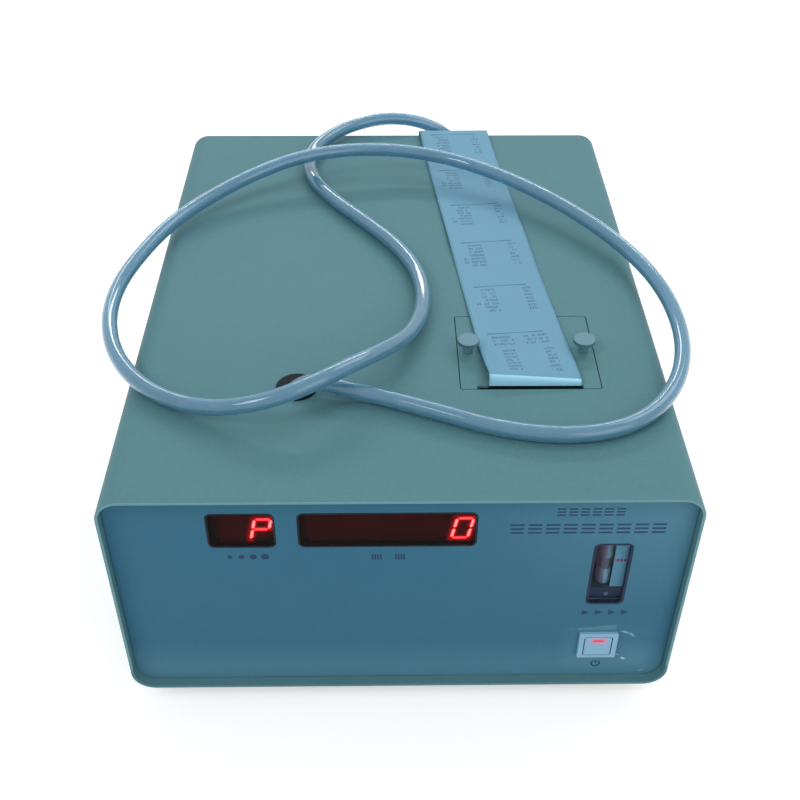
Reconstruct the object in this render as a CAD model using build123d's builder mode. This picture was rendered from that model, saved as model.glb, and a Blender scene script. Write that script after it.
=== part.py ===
from build123d import *
import os
from math import cos, pi, radians, sin, tan

os.makedirs("parts", exist_ok=True)

# Airborne particle counter: a folded steel case with a recessed front panel,
# a strip printer under a hatch in the top and a clear sampling tube.
# Millimetres. X to the right, Y to the back, Z up; the feet stand on Z = 0.

# ---------------------------------------------------------------- case
case_width = 265.0
case_depth = 340.0
case_height = 130.0
case_corner = 11.0
sheet = 1.5
foot_height = 10.0
foot_diameter = 18.0
foot_inset = 30.0
foot_taper = -3.0
foot_edge = 1.2
foot_recess = 4.5
foot_screw_gap = 0.6
rim_round = 0.4
seam_rise = 14.0
seam_gap = 0.4
lap_height = 16.0
lap_gap = 0.1

case_bottom = foot_height
case_top = case_bottom + case_height
case_middle = case_bottom + case_height / 2
floor_top = case_bottom + sheet
top_underside = case_top - sheet
front_rim = -case_depth / 2
rear_rim = case_depth / 2
seam_height = case_bottom + seam_rise

# ---------------------------------------------------------------- panels
panel_thickness = 2.0
panel_gap = 0.3
front_recess = 5.0
rear_recess = 10.0
panel_flange = 12.0
panel_flange_width = 210.0

panel_face = front_rim + front_recess
panel_back = panel_face + panel_thickness
rear_face = rear_rim - rear_recess
rear_inside = rear_face - panel_thickness

# ---------------------------------------------------------------- screws
screw_shank = 2.9
screw_hole = 3.0
screw_head = 5.6
screw_head_height = 1.9
screw_head_edge = 0.7
screw_length = 6.0
screw_grip = 2.0
recess_width = 0.9
recess_length = 3.2
recess_depth = 1.1
side_screw_inset = 30.0
flange_screw_spacing = 160.0

# ---------------------------------------------------------------- windows
window_corner = 3.0
window_gap = 0.15
window_flange = 2.0
window_flange_thickness = 1.0
size_window_width = 30.3
size_window_x = -70.95
count_window_width = 79.7
count_window_x = -5.95
display_window_height = 21.5
display_below_top = 22.6
flow_window_width = 17.8
flow_window_height = 41.6
flow_window_x = 96.3
flow_window_below_top = 53.3

display_z = case_top - display_below_top
flow_z = case_top - flow_window_below_top
flange_back = panel_back + window_flange_thickness

# ---------------------------------------------------------------- digits
digit_pitch = 12.65
digit_height = 13.8
digit_width = 8.8
digit_slant = 11.0
digit_drop = 1.7
segment_width = 1.5
segment_gap = 0.45
segment_depth = 0.6
point_diameter = 1.5
point_gap = 0.3
size_digits_x = -68.6
count_digits_x = -4.1
size_digit_count = 2
count_digit_count = 6
module_height = 18.0
module_depth = 8.0
module_gap = 0.3
board_thickness = 1.6
display_board_margin = 7.0
standoff_diameter = 5.0
standoff_margin = 7.5
standoff_inset = 4.0
standoff_stud = 2.0

digits_z = display_z - digit_drop
module_front = flange_back + module_gap
module_back = module_front + module_depth

# ---------------------------------------------------------------- flow meter
meter_width = 25.0
meter_height = 66.0
meter_depth = 17.0
meter_wall = 2.5
meter_corner = 2.0
meter_front_gap = 0.3
meter_tube_diameter = 7.0
meter_tube_x = 95.6
meter_tube_setback = 6.0
meter_block_rise = 9.0
meter_seat_depth = 3.0
meter_seat_gap = 0.05
bore_low = 4.2
bore_high = 5.6
port_bore = 2.0
float_diameter = 3.9
float_length = 6.5
float_height = 9.0
scale_width = 8.0
scale_thickness = 0.8
scale_setback = 0.5
scale_end_gap = 0.1
adjuster_diameter = 2.4
adjuster_offset = 0.8
adjuster_depth = 2.0
adjuster_gap = 0.1
adjuster_slot_width = 0.5
adjuster_slot_depth = 0.6
hose_barb_length = 9.0
hose_outer = 6.0
hose_inner = 4.0
hose_gap = 0.1
hose_end_gap = 0.3

meter_front = flange_back + meter_front_gap
meter_back = meter_front + meter_depth
cavity_low = flow_z - flow_window_height / 2 + meter_block_rise
cavity_high = flow_z + flow_window_height / 2
meter_tube_y = meter_front + meter_tube_setback
adjuster_x = flow_window_x + adjuster_offset

# ---------------------------------------------------------------- switch
switch_x = 96.5
switch_below_flow_window = 50.3
switch_bezel_width = 19.0
switch_bezel_height = 18.0
switch_bezel_thickness = 1.8
switch_bezel_corner = 0.7
switch_bezel_round = 0.4
switch_body_size = 16.4
switch_body_depth = 24.0
switch_wall_gap = 0.15
button_size = 13.1
button_gap = 0.45
button_proud = 0.3
button_depth = 10.0
button_corner = 1.0
button_round = 0.6
button_in_travel = 1.0
button_end_gap = 1.0
lamp_width = 5.0
lamp_height = 1.5
lamp_depth = 0.8
lamp_drop = 2.2
terminal_thickness = 0.8
terminal_width = 4.8
terminal_length = 8.0

switch_z = flow_z - switch_below_flow_window
bezel_face = panel_face - switch_bezel_thickness
button_face = bezel_face - button_proud

# ---------------------------------------------------------------- printer hatch
hatch_width = 67.5
hatch_depth = 59.0
hatch_gap = 0.5
hatch_corner = 1.5
hatch_x = 63.45
hatch_y = -64.7
slot_length = 51.2
slot_width = 2.4
paper_in_slot = 1.9
slot_x = 63.1
thumb_spacing = 57.6
thumb_head = 10.9
thumb_head_height = 2.0
thumb_neck = 5.0
thumb_reach = 5.5
thumb_shank = 3.0
thumb_hole_gap = 0.1
thumb_seat_gap = 0.1
thumb_shank_length = 9.0
knurl_count = 36
knurl_depth = 0.35

hatch_front = hatch_y - hatch_depth / 2
thumb_places = ((hatch_x - thumb_spacing / 2, hatch_y), (hatch_x + thumb_spacing / 2, hatch_y))

# ---------------------------------------------------------------- printer
paper_width = 44.4
paper_thickness = 0.2
paper_x = 65.4
paper_skew = 5.8
paper_crest = 6.4
paper_lift = 0.5
paper_wave = 3.0
paper_tail = 75.0
paper_tail_gap = 1.5
paper_bend = 6.0
roll_diameter = 36.0
roll_core = 12.0
roll_behind_hatch_middle = 6.7
roll_below_top = 32.0
roll_rear_gap = 3.0
spindle_gap = 0.1
cheek_spacing = 50.0
cheek_thickness = 2.0
chassis_flange = 8.0
chassis_flange_thickness = 2.0
chassis_floor_below_top = 56.0
boss_diameter = 8.0
boss_height = 8.0
platen_diameter = 10.0
platen_shaft = 4.0
platen_below_top = 21.0
roller_overhang = 1.5
shaft_overhang = 1.0
shaft_gap = 0.05
paper_gap = 0.15
head_height = 9.0
head_thickness = 4.5
head_overhang = 1.0
gear_module = 0.6
pressure_degrees = 20.0
addendum_share = 0.9
dedendum_share = 1.25
tooth_share = 0.9
pinion_teeth = 12
platen_teeth = 30
gear_width = 2.4
gear_side_gap = 0.4
motor_diameter = 15.0
motor_length = 11.0
motor_shaft = 2.0
shaft_in_motor = 4.0
motor_bore_depth = 5.0
ear_spacing = 20.0
ear_width = 6.0
ear_thickness = 1.0
pillar_diameter = 4.0

feed_y = hatch_front + paper_in_slot
chassis_x = hatch_x
chassis_floor_z = case_top - chassis_floor_below_top
roll_y = hatch_y + roll_behind_hatch_middle
roll_z = case_top - roll_below_top
platen_z = case_top - platen_below_top
cheek_inside = cheek_spacing / 2
cheek_outside = cheek_inside + cheek_thickness
platen_y = feed_y + paper_thickness / 2 + paper_gap + platen_diameter / 2
gear_distance = gear_module * (pinion_teeth + platen_teeth) / 2
pinion_y = platen_y
pinion_z = platen_z - gear_distance
gear_x = chassis_x + cheek_outside + gear_side_gap

# ---------------------------------------------------------------- grommet and sampling tube
grommet_x = -49.1
grommet_y = -92.9
grommet_diameter = 19.6
grommet_neck = 16.0
grommet_flange = 1.6
grommet_edge = 0.6
tube_diameter = 8.0
tube_bore = 5.5
exit_elevation = 52.0
exit_turn = 22.0
exit_rise = 0.75
exit_straight = 9.0
tube_start = 8.0
open_bore = 10.0
bore_room = 1.0

# ---------------------------------------------------------------- inner works
sensor_size = (60.0, 50.0, 40.0)
sensor_corner = 2.0
sensor_chamfer = 1.0
sensor_from_left = 58.5
sensor_y = -88.0
sensor_below_top = 24.0
stand_sheet = 2.0
stand_foot = 10.0
spigot_diameter = 7.4
spigot_seat = 6.0
spigot_barb = 5.4
spigot_barb_length = 7.0
spigot_wall = 1.0
laser_diameter = 14.0
laser_length = 26.0
laser_flange = 3.0
laser_flange_thickness = 2.0
detector_size = (16.0, 16.0, 10.0)
detector_board_margin = 4.0
nipple_below_sensor_top = 20.0
pump_size = (44.0, 40.0, 42.0)
pump_corner = 4.0
pump_from_left = 58.5
pump_y = -10.0
pump_motor_diameter = 30.0
pump_motor_length = 34.0
pump_motor_edge = 2.0
filter_diameter = 34.0
filter_height = 72.0
filter_edge = 3.0
filter_board_gap = 3.0
filter_y = 62.0
core_size = (60.0, 26.0, 50.0)
coil_size = (40.0, 50.0, 30.0)
coil_gap = 0.3
coil_corner = 5.0
transformer_from_left = 48.5
transformer_y = 92.0
main_board_size = (120.0, 150.0)
board_side_gap = 7.0
board_y = 42.0
board_standoff_height = 8.0
board_hole_inset = 6.0
chip_size = (16.0, 16.0)
chip_height = 3.0
chip_places = ((-20.0, -30.0), (22.0, -5.0))
long_chip_size = (10.0, 24.0)
long_chip_place = (-20.0, 20.0)
capacitor_diameter = 12.0
capacitor_height = 20.0
capacitor_places = ((30.0, 45.0), (12.0, 45.0))
front_socket_size = (40.0, 6.0)
front_socket_inset = 8.0
rear_socket_size = (30.0, 10.0)
rear_socket_inset = 12.0
rear_socket_offset = -30.0
socket_strip_height = 9.0

# ---------------------------------------------------------------- rear fittings
inlet_x = -88.0
inlet_z = 52.0
inlet_flange = (34.0, 42.0)
inlet_flange_thickness = 2.5
inlet_flange_corner = 3.0
inlet_body = (28.0, 36.0)
inlet_body_depth = 24.0
inlet_gap = 0.2
socket_width = 24.4
socket_height = 16.4
socket_depth = 16.0
socket_chamfer = 4.5
socket_rise = 6.5
pin_width = 4.0
pin_thickness = 2.0
pin_length = 14.0
pin_spacing = 14.0
earth_offset = 4.0
drawer_width = 22.0
drawer_height = 8.0
drawer_depth = 18.0
drawer_gap = 0.2
drawer_drop = 10.5
pull_height = 2.0
pull_depth = 1.2
fuse_diameter = 5.2
fuse_length = 14.0
exhaust_x = -20.0
exhaust_below_top = 40.0
exhaust_diameter = 8.0
exhaust_bore = 5.0
exhaust_reach = 13.0
exhaust_nut = 14.0
exhaust_nut_thickness = 4.0
vent_x = 85.0
vent_below_top = 45.0
vent_count = 9
vent_pitch = 7.0
vent_width = 3.0
vent_height = 36.0

# ---------------------------------------------------------------- inner hoses
small_hose_bend = 7.0
pump_hose_bend = 12.0
meter_hose_bend = 20.0
exhaust_hose_bend = 10.0
nipple_run = 8.0
nipple_drop = 12.0
filter_loop_rise = 24.0
side_hose_gap = 12.0
meter_hose_run = 24.0
side_hose_start = 44.0
rear_hose_gap = 30.0


def facing_front(y):
    """Plane at depth y, with X to the right, Z up and its normal to the front."""
    return Plane.XZ.offset(-y)


def facing_rear(y):
    return Plane(origin=(0, y, 0), x_dir=(-1, 0, 0), z_dir=(0, 1, 0))


def save(solid, name):
    solid.label = name
    export_step(solid, f"parts/{name}.step")


def rim_edges(shell):
    """Edges along the front and rear rims of a folded sheet, without those across the sheet."""
    ends = shell.faces().filter_by(Axis.Y).sort_by(Axis.Y)
    return [edge for face in (ends[0], ends[-1]) for edge in face.edges() if edge.length > 2 * sheet]


def case_section(inset):
    with BuildSketch() as section:
        RectangleRounded(case_width - 2 * inset, case_height - 2 * inset, case_corner - inset)
    return section.sketch


def pan_screw(seat, length):
    with BuildPart() as screw:
        with BuildSketch(seat):
            Circle(screw_head / 2)
        extrude(amount=screw_head_height)
        chamfer(screw.faces().sort_by(Axis(seat.origin, seat.z_dir))[-1].edges(), screw_head_edge)
        with BuildSketch(seat):
            Circle(screw_shank / 2)
        extrude(amount=-length)
        with BuildSketch(seat.offset(screw_head_height)):
            Rectangle(recess_length, recess_width)
            Rectangle(recess_width, recess_length)
        extrude(amount=-recess_depth, mode=Mode.SUBTRACT)
    return screw.part


# ================================================================ case shell
side_screw_z = seam_height + lap_height / 2
side_screw_ys = (front_rim + side_screw_inset, rear_rim - side_screw_inset)
flange_screw_xs = (-flange_screw_spacing / 2, flange_screw_spacing / 2)
front_flange_y = panel_back + panel_flange / 2
rear_flange_y = rear_inside - panel_flange / 2
foot_x = case_width / 2 - foot_inset
foot_y = case_depth / 2 - foot_inset
foot_places = [(-foot_x, -foot_y), (foot_x, -foot_y), (-foot_x, foot_y), (foot_x, foot_y)]

with BuildPart() as upper_cover:
    with BuildSketch(facing_front(front_rim)) as cover_section:
        with Locations((0, case_middle)):
            add(case_section(0))
            add(case_section(sheet), mode=Mode.SUBTRACT)
        with Locations((0, case_bottom)):
            Rectangle(case_width, 2 * (seam_rise + seam_gap), mode=Mode.SUBTRACT)
    extrude(amount=-case_depth)
    with BuildSketch(Plane.XY.offset(case_top)):
        with Locations((hatch_x, hatch_y)):
            RectangleRounded(hatch_width + 2 * hatch_gap, hatch_depth + 2 * hatch_gap, hatch_corner)
        with Locations((grommet_x, grommet_y)):
            Circle(grommet_neck / 2)
    extrude(amount=-sheet, mode=Mode.SUBTRACT)
    with BuildSketch(Plane.YZ):
        with Locations(*[(y, side_screw_z) for y in side_screw_ys]):
            Circle(screw_hole / 2)
    extrude(amount=case_width / 2, both=True, mode=Mode.SUBTRACT)
    fillet(rim_edges(upper_cover.part), rim_round)
save(upper_cover.part, "upper_cover")

with BuildPart() as base_tray:
    with BuildSketch(facing_front(front_rim)) as tray_section:
        with Locations((0, case_middle)):
            add(case_section(0))
            add(case_section(sheet), mode=Mode.SUBTRACT)
        with Locations((0, case_top)):
            Rectangle(case_width, 2 * (case_height - seam_rise), mode=Mode.SUBTRACT)
    extrude(amount=-case_depth)
    lap_x = case_width / 2 - sheet - lap_gap - sheet / 2
    with BuildSketch(facing_front(panel_back + panel_flange)) as lap_section:
        with Locations((lap_x, seam_height), (-lap_x, seam_height)):
            Rectangle(sheet, 2 * lap_height)
        with Locations((0, case_middle)):
            add(case_section(sheet), mode=Mode.INTERSECT)
        joggle_x = case_width / 2 - sheet - lap_gap
        with Locations((joggle_x, seam_height - seam_rise / 3), (-joggle_x, seam_height - seam_rise / 3)):
            Rectangle(sheet, seam_rise / 3)
    extrude(amount=-(rear_inside - panel_flange - panel_back - panel_flange))
    with BuildSketch(Plane.XY.offset(case_bottom)):
        with Locations(*foot_places):
            Circle(screw_hole / 2)
        with Locations(*[(x, y) for x in flange_screw_xs for y in (front_flange_y, rear_flange_y)]):
            Circle(screw_hole / 2)
    extrude(amount=sheet, mode=Mode.SUBTRACT)
    with BuildSketch(Plane.YZ):
        with Locations(*[(y, side_screw_z) for y in side_screw_ys]):
            Circle(screw_hole / 2)
    extrude(amount=case_width / 2, both=True, mode=Mode.SUBTRACT)
    fillet(rim_edges(base_tray.part), rim_round)
save(base_tray.part, "base_tray")

with BuildPart() as case_screws:
    for y in side_screw_ys:
        for side in (-1, 1):
            side_x = side * case_width / 2
            seat = Plane(origin=(side_x, y, side_screw_z), x_dir=(0, 1, 0), z_dir=(side, 0, 0))
            add(pan_screw(seat, screw_length))
    for x in flange_screw_xs:
        for y in (front_flange_y, rear_flange_y):
            seat = Plane(origin=(x, y, case_bottom), x_dir=(1, 0, 0), z_dir=(0, 0, -1))
            add(pan_screw(seat, sheet + panel_thickness))
save(case_screws.part, "case_screws")

with BuildPart() as foot:
    with BuildSketch():
        Circle(foot_diameter / 2)
    extrude(amount=foot_height, taper=foot_taper)
    chamfer(foot.faces().sort_by(Axis.Z)[0].edges(), foot_edge)
    with BuildSketch():
        Circle(screw_head / 2 + foot_screw_gap)
    extrude(amount=foot_recess, mode=Mode.SUBTRACT)
    with BuildSketch():
        Circle(screw_hole / 2)
    extrude(amount=foot_height, mode=Mode.SUBTRACT)

with BuildPart() as rubber_feet:
    with Locations(*foot_places):
        add(foot.part)
save(rubber_feet.part, "rubber_feet")

with BuildPart() as foot_screws:
    for x, y in foot_places:
        seat = Plane(origin=(x, y, foot_recess), x_dir=(1, 0, 0), z_dir=(0, 0, -1))
        add(pan_screw(seat, foot_height - foot_recess + sheet + screw_grip))
save(foot_screws.part, "foot_screws")


# ================================================================ front panel and windows
windows = {
    "size_window": (size_window_x, display_z, size_window_width, display_window_height),
    "count_window": (count_window_x, display_z, count_window_width, display_window_height),
    "flow_window": (flow_window_x, flow_z, flow_window_width, flow_window_height),
}

with BuildPart() as front_panel:
    with BuildSketch(facing_front(panel_back)):
        with Locations((0, case_middle)):
            add(case_section(sheet + panel_gap))
    extrude(amount=panel_thickness)
    with BuildSketch(facing_front(panel_back)):
        with Locations((0, floor_top + panel_thickness / 2)):
            Rectangle(panel_flange_width, panel_thickness)
    extrude(amount=-panel_flange)
    with BuildSketch(Plane.XY.offset(floor_top)):
        with Locations(*[(x, front_flange_y) for x in flange_screw_xs]):
            Circle(screw_hole / 2)
    extrude(amount=panel_thickness, mode=Mode.SUBTRACT)
    with BuildSketch(facing_front(panel_back)):
        for x, z, width, height in windows.values():
            with Locations((x, z)):
                RectangleRounded(width + 2 * window_gap, height + 2 * window_gap, window_corner + window_gap)
        with Locations((switch_x, switch_z)):
            Rectangle(switch_body_size + 2 * switch_wall_gap, switch_body_size + 2 * switch_wall_gap)
    extrude(amount=panel_thickness, mode=Mode.SUBTRACT)
save(front_panel.part, "front_panel")

for name, (x, z, width, height) in windows.items():
    with BuildPart() as window:
        with BuildSketch(facing_front(panel_back)):
            with Locations((x, z)):
                RectangleRounded(width, height, window_corner)
        extrude(amount=panel_thickness)
        with BuildSketch(facing_front(panel_back)):
            with Locations((x, z)):
                RectangleRounded(width + 2 * window_flange, height + 2 * window_flange, window_corner)
        extrude(amount=-window_flange_thickness)
    save(window.part, name)


# ================================================================ seven-segment displays
def sheared(points, x, z):
    """Points about a digit's middle, leant to the right and moved to (x, z)."""
    lean = tan(radians(digit_slant))
    return [(x + px + pz * lean, z + pz) for px, pz in points]


def bar(ax, az, bx, bz):
    """Six-sided segment from (ax, az) to (bx, bz), pointed at both ends."""
    half = segment_width / 2
    if az == bz:
        return [(ax, az), (ax + half, az + half), (bx - half, az + half),
                (bx, az), (bx - half, az - half), (ax + half, az - half)]
    return [(ax, az), (ax - half, az - half), (ax - half, bz + half),
            (ax, bz), (ax + half, bz + half), (ax + half, az - half)]


def segment_outlines():
    across = (digit_width - segment_width) / 2
    up = (digit_height - segment_width) / 2
    gap = segment_gap
    return {
        "top": bar(-across + gap, up, across - gap, up),
        "upper_right": bar(across, up - gap, across, gap),
        "lower_right": bar(across, -gap, across, -up + gap),
        "bottom": bar(-across + gap, -up, across - gap, -up),
        "lower_left": bar(-across, -gap, -across, -up + gap),
        "upper_left": bar(-across, up - gap, -across, gap),
        "middle": bar(-across + gap, 0, across - gap, 0),
    }


letter_p = ("top", "upper_right", "upper_left", "middle", "lower_left")
figure_nought = ("top", "upper_right", "lower_right", "bottom", "lower_left", "upper_left")


def digit_places(centre_x, count):
    return [centre_x + (i - (count - 1) / 2) * digit_pitch for i in range(count)]


digits = [(x, ()) for x in digit_places(size_digits_x, size_digit_count)]
digits[-1] = (digits[-1][0], letter_p)
digits += [(x, ()) for x in digit_places(count_digits_x, count_digit_count)]
digits[-1] = (digits[-1][0], figure_nought)


def segments_sketch(wanted):
    """Sketch of the lit or the unlit segments of every digit."""
    with BuildSketch(facing_front(module_front)) as outlines:
        for x, lit_names in digits:
            for name, points in segment_outlines().items():
                if (name in lit_names) == wanted:
                    Polygon(*sheared(points, x, digits_z), align=None)
            if not wanted:
                point_x = x + digit_width / 2 + point_gap
                with Locations((point_x, digits_z - digit_height / 2 + point_diameter / 2)):
                    Circle(point_diameter / 2)
    return outlines.sketch


for wanted, name in ((True, "lit_segments"), (False, "unlit_segments")):
    with BuildPart() as segments:
        add(segments_sketch(wanted))
        extrude(amount=-segment_depth, dir=(0, -1, 0))
    save(segments.part, name)

modules = {
    "size_display": (size_digits_x, size_digit_count),
    "count_display": (count_digits_x, count_digit_count),
}
for name, (x, count) in modules.items():
    with BuildPart() as module:
        with BuildSketch(facing_front(module_front)):
            with Locations((x, digits_z)):
                Rectangle(count * digit_pitch, module_height)
        extrude(amount=-module_depth)
        for wanted in (True, False):
            add(segments_sketch(wanted))
            extrude(amount=-segment_depth, dir=(0, -1, 0), mode=Mode.SUBTRACT)
    save(module.part, name)

board_left = size_window_x - size_window_width / 2 - window_flange - standoff_margin
board_right = count_window_x + count_window_width / 2 + window_flange + standoff_margin
board_middle = (board_left + board_right) / 2
standoff_xs = (board_left + standoff_inset, board_right - standoff_inset)
standoff_zs = (digits_z - module_height / 2, digits_z + module_height / 2)
display_holes = [(x, z) for x in standoff_xs for z in standoff_zs]

with BuildPart() as display_board:
    with BuildSketch(facing_front(module_back)):
        with Locations((board_middle, digits_z)):
            Rectangle(board_right - board_left, module_height + display_board_margin)
        with Locations(*display_holes):
            Circle(screw_hole / 2, mode=Mode.SUBTRACT)
    extrude(amount=-board_thickness)
save(display_board.part, "display_board")

with BuildPart() as display_standoffs:
    with BuildSketch(facing_front(panel_back)):
        with Locations(*display_holes):
            Circle(standoff_diameter / 2)
    extrude(amount=-(module_back - panel_back))
    with BuildSketch(facing_front(panel_back)):
        with Locations(*display_holes):
            Circle(screw_shank / 2)
    extrude(amount=-(module_back - panel_back + board_thickness + standoff_stud))
save(display_standoffs.part, "display_standoffs")


# ================================================================ flow meter
port_low_z = cavity_low - meter_seat_depth - hose_outer
port_high_z = cavity_high + meter_seat_depth + hose_outer

with BuildPart() as flowmeter_body:
    with BuildSketch(facing_front(meter_front)):
        with Locations((flow_window_x, flow_z)):
            RectangleRounded(meter_width, meter_height, meter_corner)
    extrude(amount=-meter_depth)
    with BuildSketch(facing_front(meter_front)):
        with Locations((flow_window_x, (cavity_low + cavity_high) / 2)):
            Rectangle(meter_width - 2 * meter_wall, cavity_high - cavity_low)
    extrude(amount=-(meter_depth - meter_wall), mode=Mode.SUBTRACT)
    with BuildSketch(Plane(origin=(meter_tube_x, meter_tube_y, cavity_low - meter_seat_depth))):
        Circle(meter_tube_diameter / 2 + meter_seat_gap)
    extrude(amount=cavity_high - cavity_low + 2 * meter_seat_depth, mode=Mode.SUBTRACT)
    with BuildSketch(Plane(origin=(meter_tube_x, meter_tube_y, port_low_z))):
        Circle(bore_low / 2)
    extrude(amount=port_high_z - port_low_z, mode=Mode.SUBTRACT)
    with BuildSketch(facing_front(meter_back)):
        with Locations((meter_tube_x, port_low_z), (meter_tube_x, port_high_z)):
            Circle(hose_inner / 2 - hose_gap)
    extrude(amount=-hose_barb_length)
    with BuildSketch(facing_front(meter_back + hose_barb_length)):
        with Locations((meter_tube_x, port_low_z), (meter_tube_x, port_high_z)):
            Circle(port_bore / 2)
    extrude(amount=hose_barb_length + meter_back - meter_tube_y, mode=Mode.SUBTRACT)
    with BuildSketch(facing_front(meter_front)):
        with Locations((adjuster_x, cavity_low - meter_block_rise / 2)):
            Circle(adjuster_diameter / 2)
    extrude(amount=-adjuster_depth, mode=Mode.SUBTRACT)
save(flowmeter_body.part, "flowmeter_body")

tube_low = cavity_low - meter_seat_depth
tube_high = cavity_high + meter_seat_depth
with BuildPart() as flowmeter_tube:
    with BuildSketch(Plane(origin=(meter_tube_x, meter_tube_y, tube_low))):
        Circle(meter_tube_diameter / 2)
    extrude(amount=tube_high - tube_low)
    with BuildSketch(Plane(origin=(meter_tube_x, meter_tube_y, tube_low))) as low_bore:
        Circle(bore_low / 2)
    with BuildSketch(Plane(origin=(meter_tube_x, meter_tube_y, tube_high))) as high_bore:
        Circle(bore_high / 2)
    loft(mode=Mode.SUBTRACT)
save(flowmeter_tube.part, "flowmeter_tube")

float_z = cavity_low + float_height
with BuildPart() as flowmeter_float:
    with BuildSketch(Plane.XZ) as float_profile:
        with BuildLine():
            Polyline(
                (0, 0), (float_diameter * 0.12, 0), (float_diameter * 0.36, float_length * 0.62),
                (float_diameter / 2, float_length * 0.7), (float_diameter / 2, float_length * 0.86),
                (float_diameter * 0.3, float_length), (0, float_length), (0, 0),
            )
        make_face()
    revolve(axis=Axis.Z)
flowmeter_float.part.position = (meter_tube_x, meter_tube_y, float_z)
save(flowmeter_float.part, "flowmeter_float")

scale_right = flow_window_x + meter_width / 2 - meter_wall
scale_y = meter_front + scale_setback
with BuildPart() as flowmeter_scale:
    with BuildSketch(facing_front(scale_y)):
        with Locations((scale_right - scale_width / 2, (cavity_low + cavity_high) / 2)):
            Rectangle(scale_width, cavity_high - cavity_low - 2 * scale_end_gap)
    extrude(amount=-scale_thickness)
save(flowmeter_scale.part, "flowmeter_scale")

with BuildPart() as flowmeter_adjuster:
    with BuildSketch(facing_front(meter_front)):
        with Locations((adjuster_x, cavity_low - meter_block_rise / 2)):
            Circle(adjuster_diameter / 2 - adjuster_gap)
    extrude(amount=-adjuster_depth)
    with BuildSketch(facing_front(meter_front)):
        with Locations((adjuster_x, cavity_low - meter_block_rise / 2)):
            Rectangle(adjuster_diameter, adjuster_slot_width)
    extrude(amount=-adjuster_slot_depth, mode=Mode.SUBTRACT)
save(flowmeter_adjuster.part, "flowmeter_adjuster")


# ================================================================ power switch
button_cavity = button_size + 2 * button_gap
cavity_end = button_face + button_depth + button_in_travel + button_end_gap
with BuildPart() as switch_body:
    with BuildSketch(facing_front(panel_face)):
        with Locations((switch_x, switch_z)):
            RectangleRounded(switch_bezel_width, switch_bezel_height, switch_bezel_corner)
    extrude(amount=switch_bezel_thickness)
    fillet(switch_body.faces().sort_by(Axis.Y)[0].edges(), switch_bezel_round)
    with BuildSketch(facing_front(panel_face)):
        with Locations((switch_x, switch_z)):
            Rectangle(switch_body_size, switch_body_size)
    extrude(amount=-switch_body_depth)
    with BuildSketch(facing_front(cavity_end)):
        with Locations((switch_x, switch_z)):
            RectangleRounded(button_cavity, button_cavity, button_corner + button_gap)
    extrude(amount=cavity_end - bezel_face, mode=Mode.SUBTRACT)
save(switch_body.part, "switch_body")

lamp_z = switch_z + button_size / 2 - lamp_drop
with BuildPart() as switch_button:
    with BuildSketch(facing_front(button_face)):
        with Locations((switch_x, switch_z)):
            RectangleRounded(button_size, button_size, button_corner)
    extrude(amount=-button_depth)
    fillet(switch_button.faces().sort_by(Axis.Y)[0].edges(), button_round)
    with BuildSketch(facing_front(button_face)):
        with Locations((switch_x, lamp_z)):
            Rectangle(lamp_width, lamp_height)
    extrude(amount=-lamp_depth, mode=Mode.SUBTRACT)
save(switch_button.part, "switch_button")

with BuildPart() as switch_lamp:
    with BuildSketch(facing_front(button_face)):
        with Locations((switch_x, lamp_z)):
            Rectangle(lamp_width, lamp_height)
    extrude(amount=-lamp_depth)
save(switch_lamp.part, "switch_lamp")

terminal_offset = switch_body_size / 4
with BuildPart() as switch_terminals:
    with BuildSketch(facing_front(panel_face + switch_body_depth)):
        with Locations(*[(switch_x + sx * terminal_offset, switch_z + sz * terminal_offset)
                         for sx in (-1, 1) for sz in (-1, 1)]):
            Rectangle(terminal_thickness, terminal_width)
    extrude(amount=-terminal_length)
save(switch_terminals.part, "switch_terminals")


# ================================================================ hatch and thumb screws
with BuildPart() as printer_hatch:
    with BuildSketch(Plane.XY.offset(top_underside)):
        with Locations((hatch_x, hatch_y)):
            RectangleRounded(hatch_width, hatch_depth, hatch_corner - hatch_gap)
        with Locations((slot_x, hatch_front)):
            Rectangle(slot_length, 2 * slot_width, mode=Mode.SUBTRACT)
        with Locations(*thumb_places):
            Circle(thumb_shank / 2 + thumb_hole_gap, mode=Mode.SUBTRACT)
    extrude(amount=sheet)
save(printer_hatch.part, "printer_hatch")

head_bottom = case_top + thumb_seat_gap + thumb_reach
for side, (x, y) in zip(("left", "right"), thumb_places):
    with BuildPart() as thumb_screw:
        with BuildSketch(Plane(origin=(x, y, case_top + thumb_seat_gap - thumb_shank_length - sheet))):
            Circle(thumb_shank / 2)
        extrude(amount=thumb_shank_length + sheet)
        with BuildSketch(Plane(origin=(x, y, case_top + thumb_seat_gap))):
            Circle(thumb_neck / 2)
        extrude(amount=thumb_reach)
        with BuildSketch(Plane(origin=(x, y, head_bottom))):
            Circle(thumb_head / 2)
            with PolarLocations(thumb_head / 2, knurl_count):
                Rectangle(2 * knurl_depth, knurl_depth, rotation=45, mode=Mode.SUBTRACT)
        extrude(amount=thumb_head_height)
    save(thumb_screw.part, f"thumb_screw_{side}")


# ================================================================ strip printer
roll_bottom = roll_z - roll_diameter / 2 - paper_gap - paper_thickness
wall_front = feed_y - paper_thickness / 2 - paper_gap - head_thickness
cheek_front = wall_front - cheek_thickness
cheek_rear = roll_y + roll_diameter / 2 + roll_rear_gap
flange_under = top_underside - chassis_flange_thickness

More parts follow.
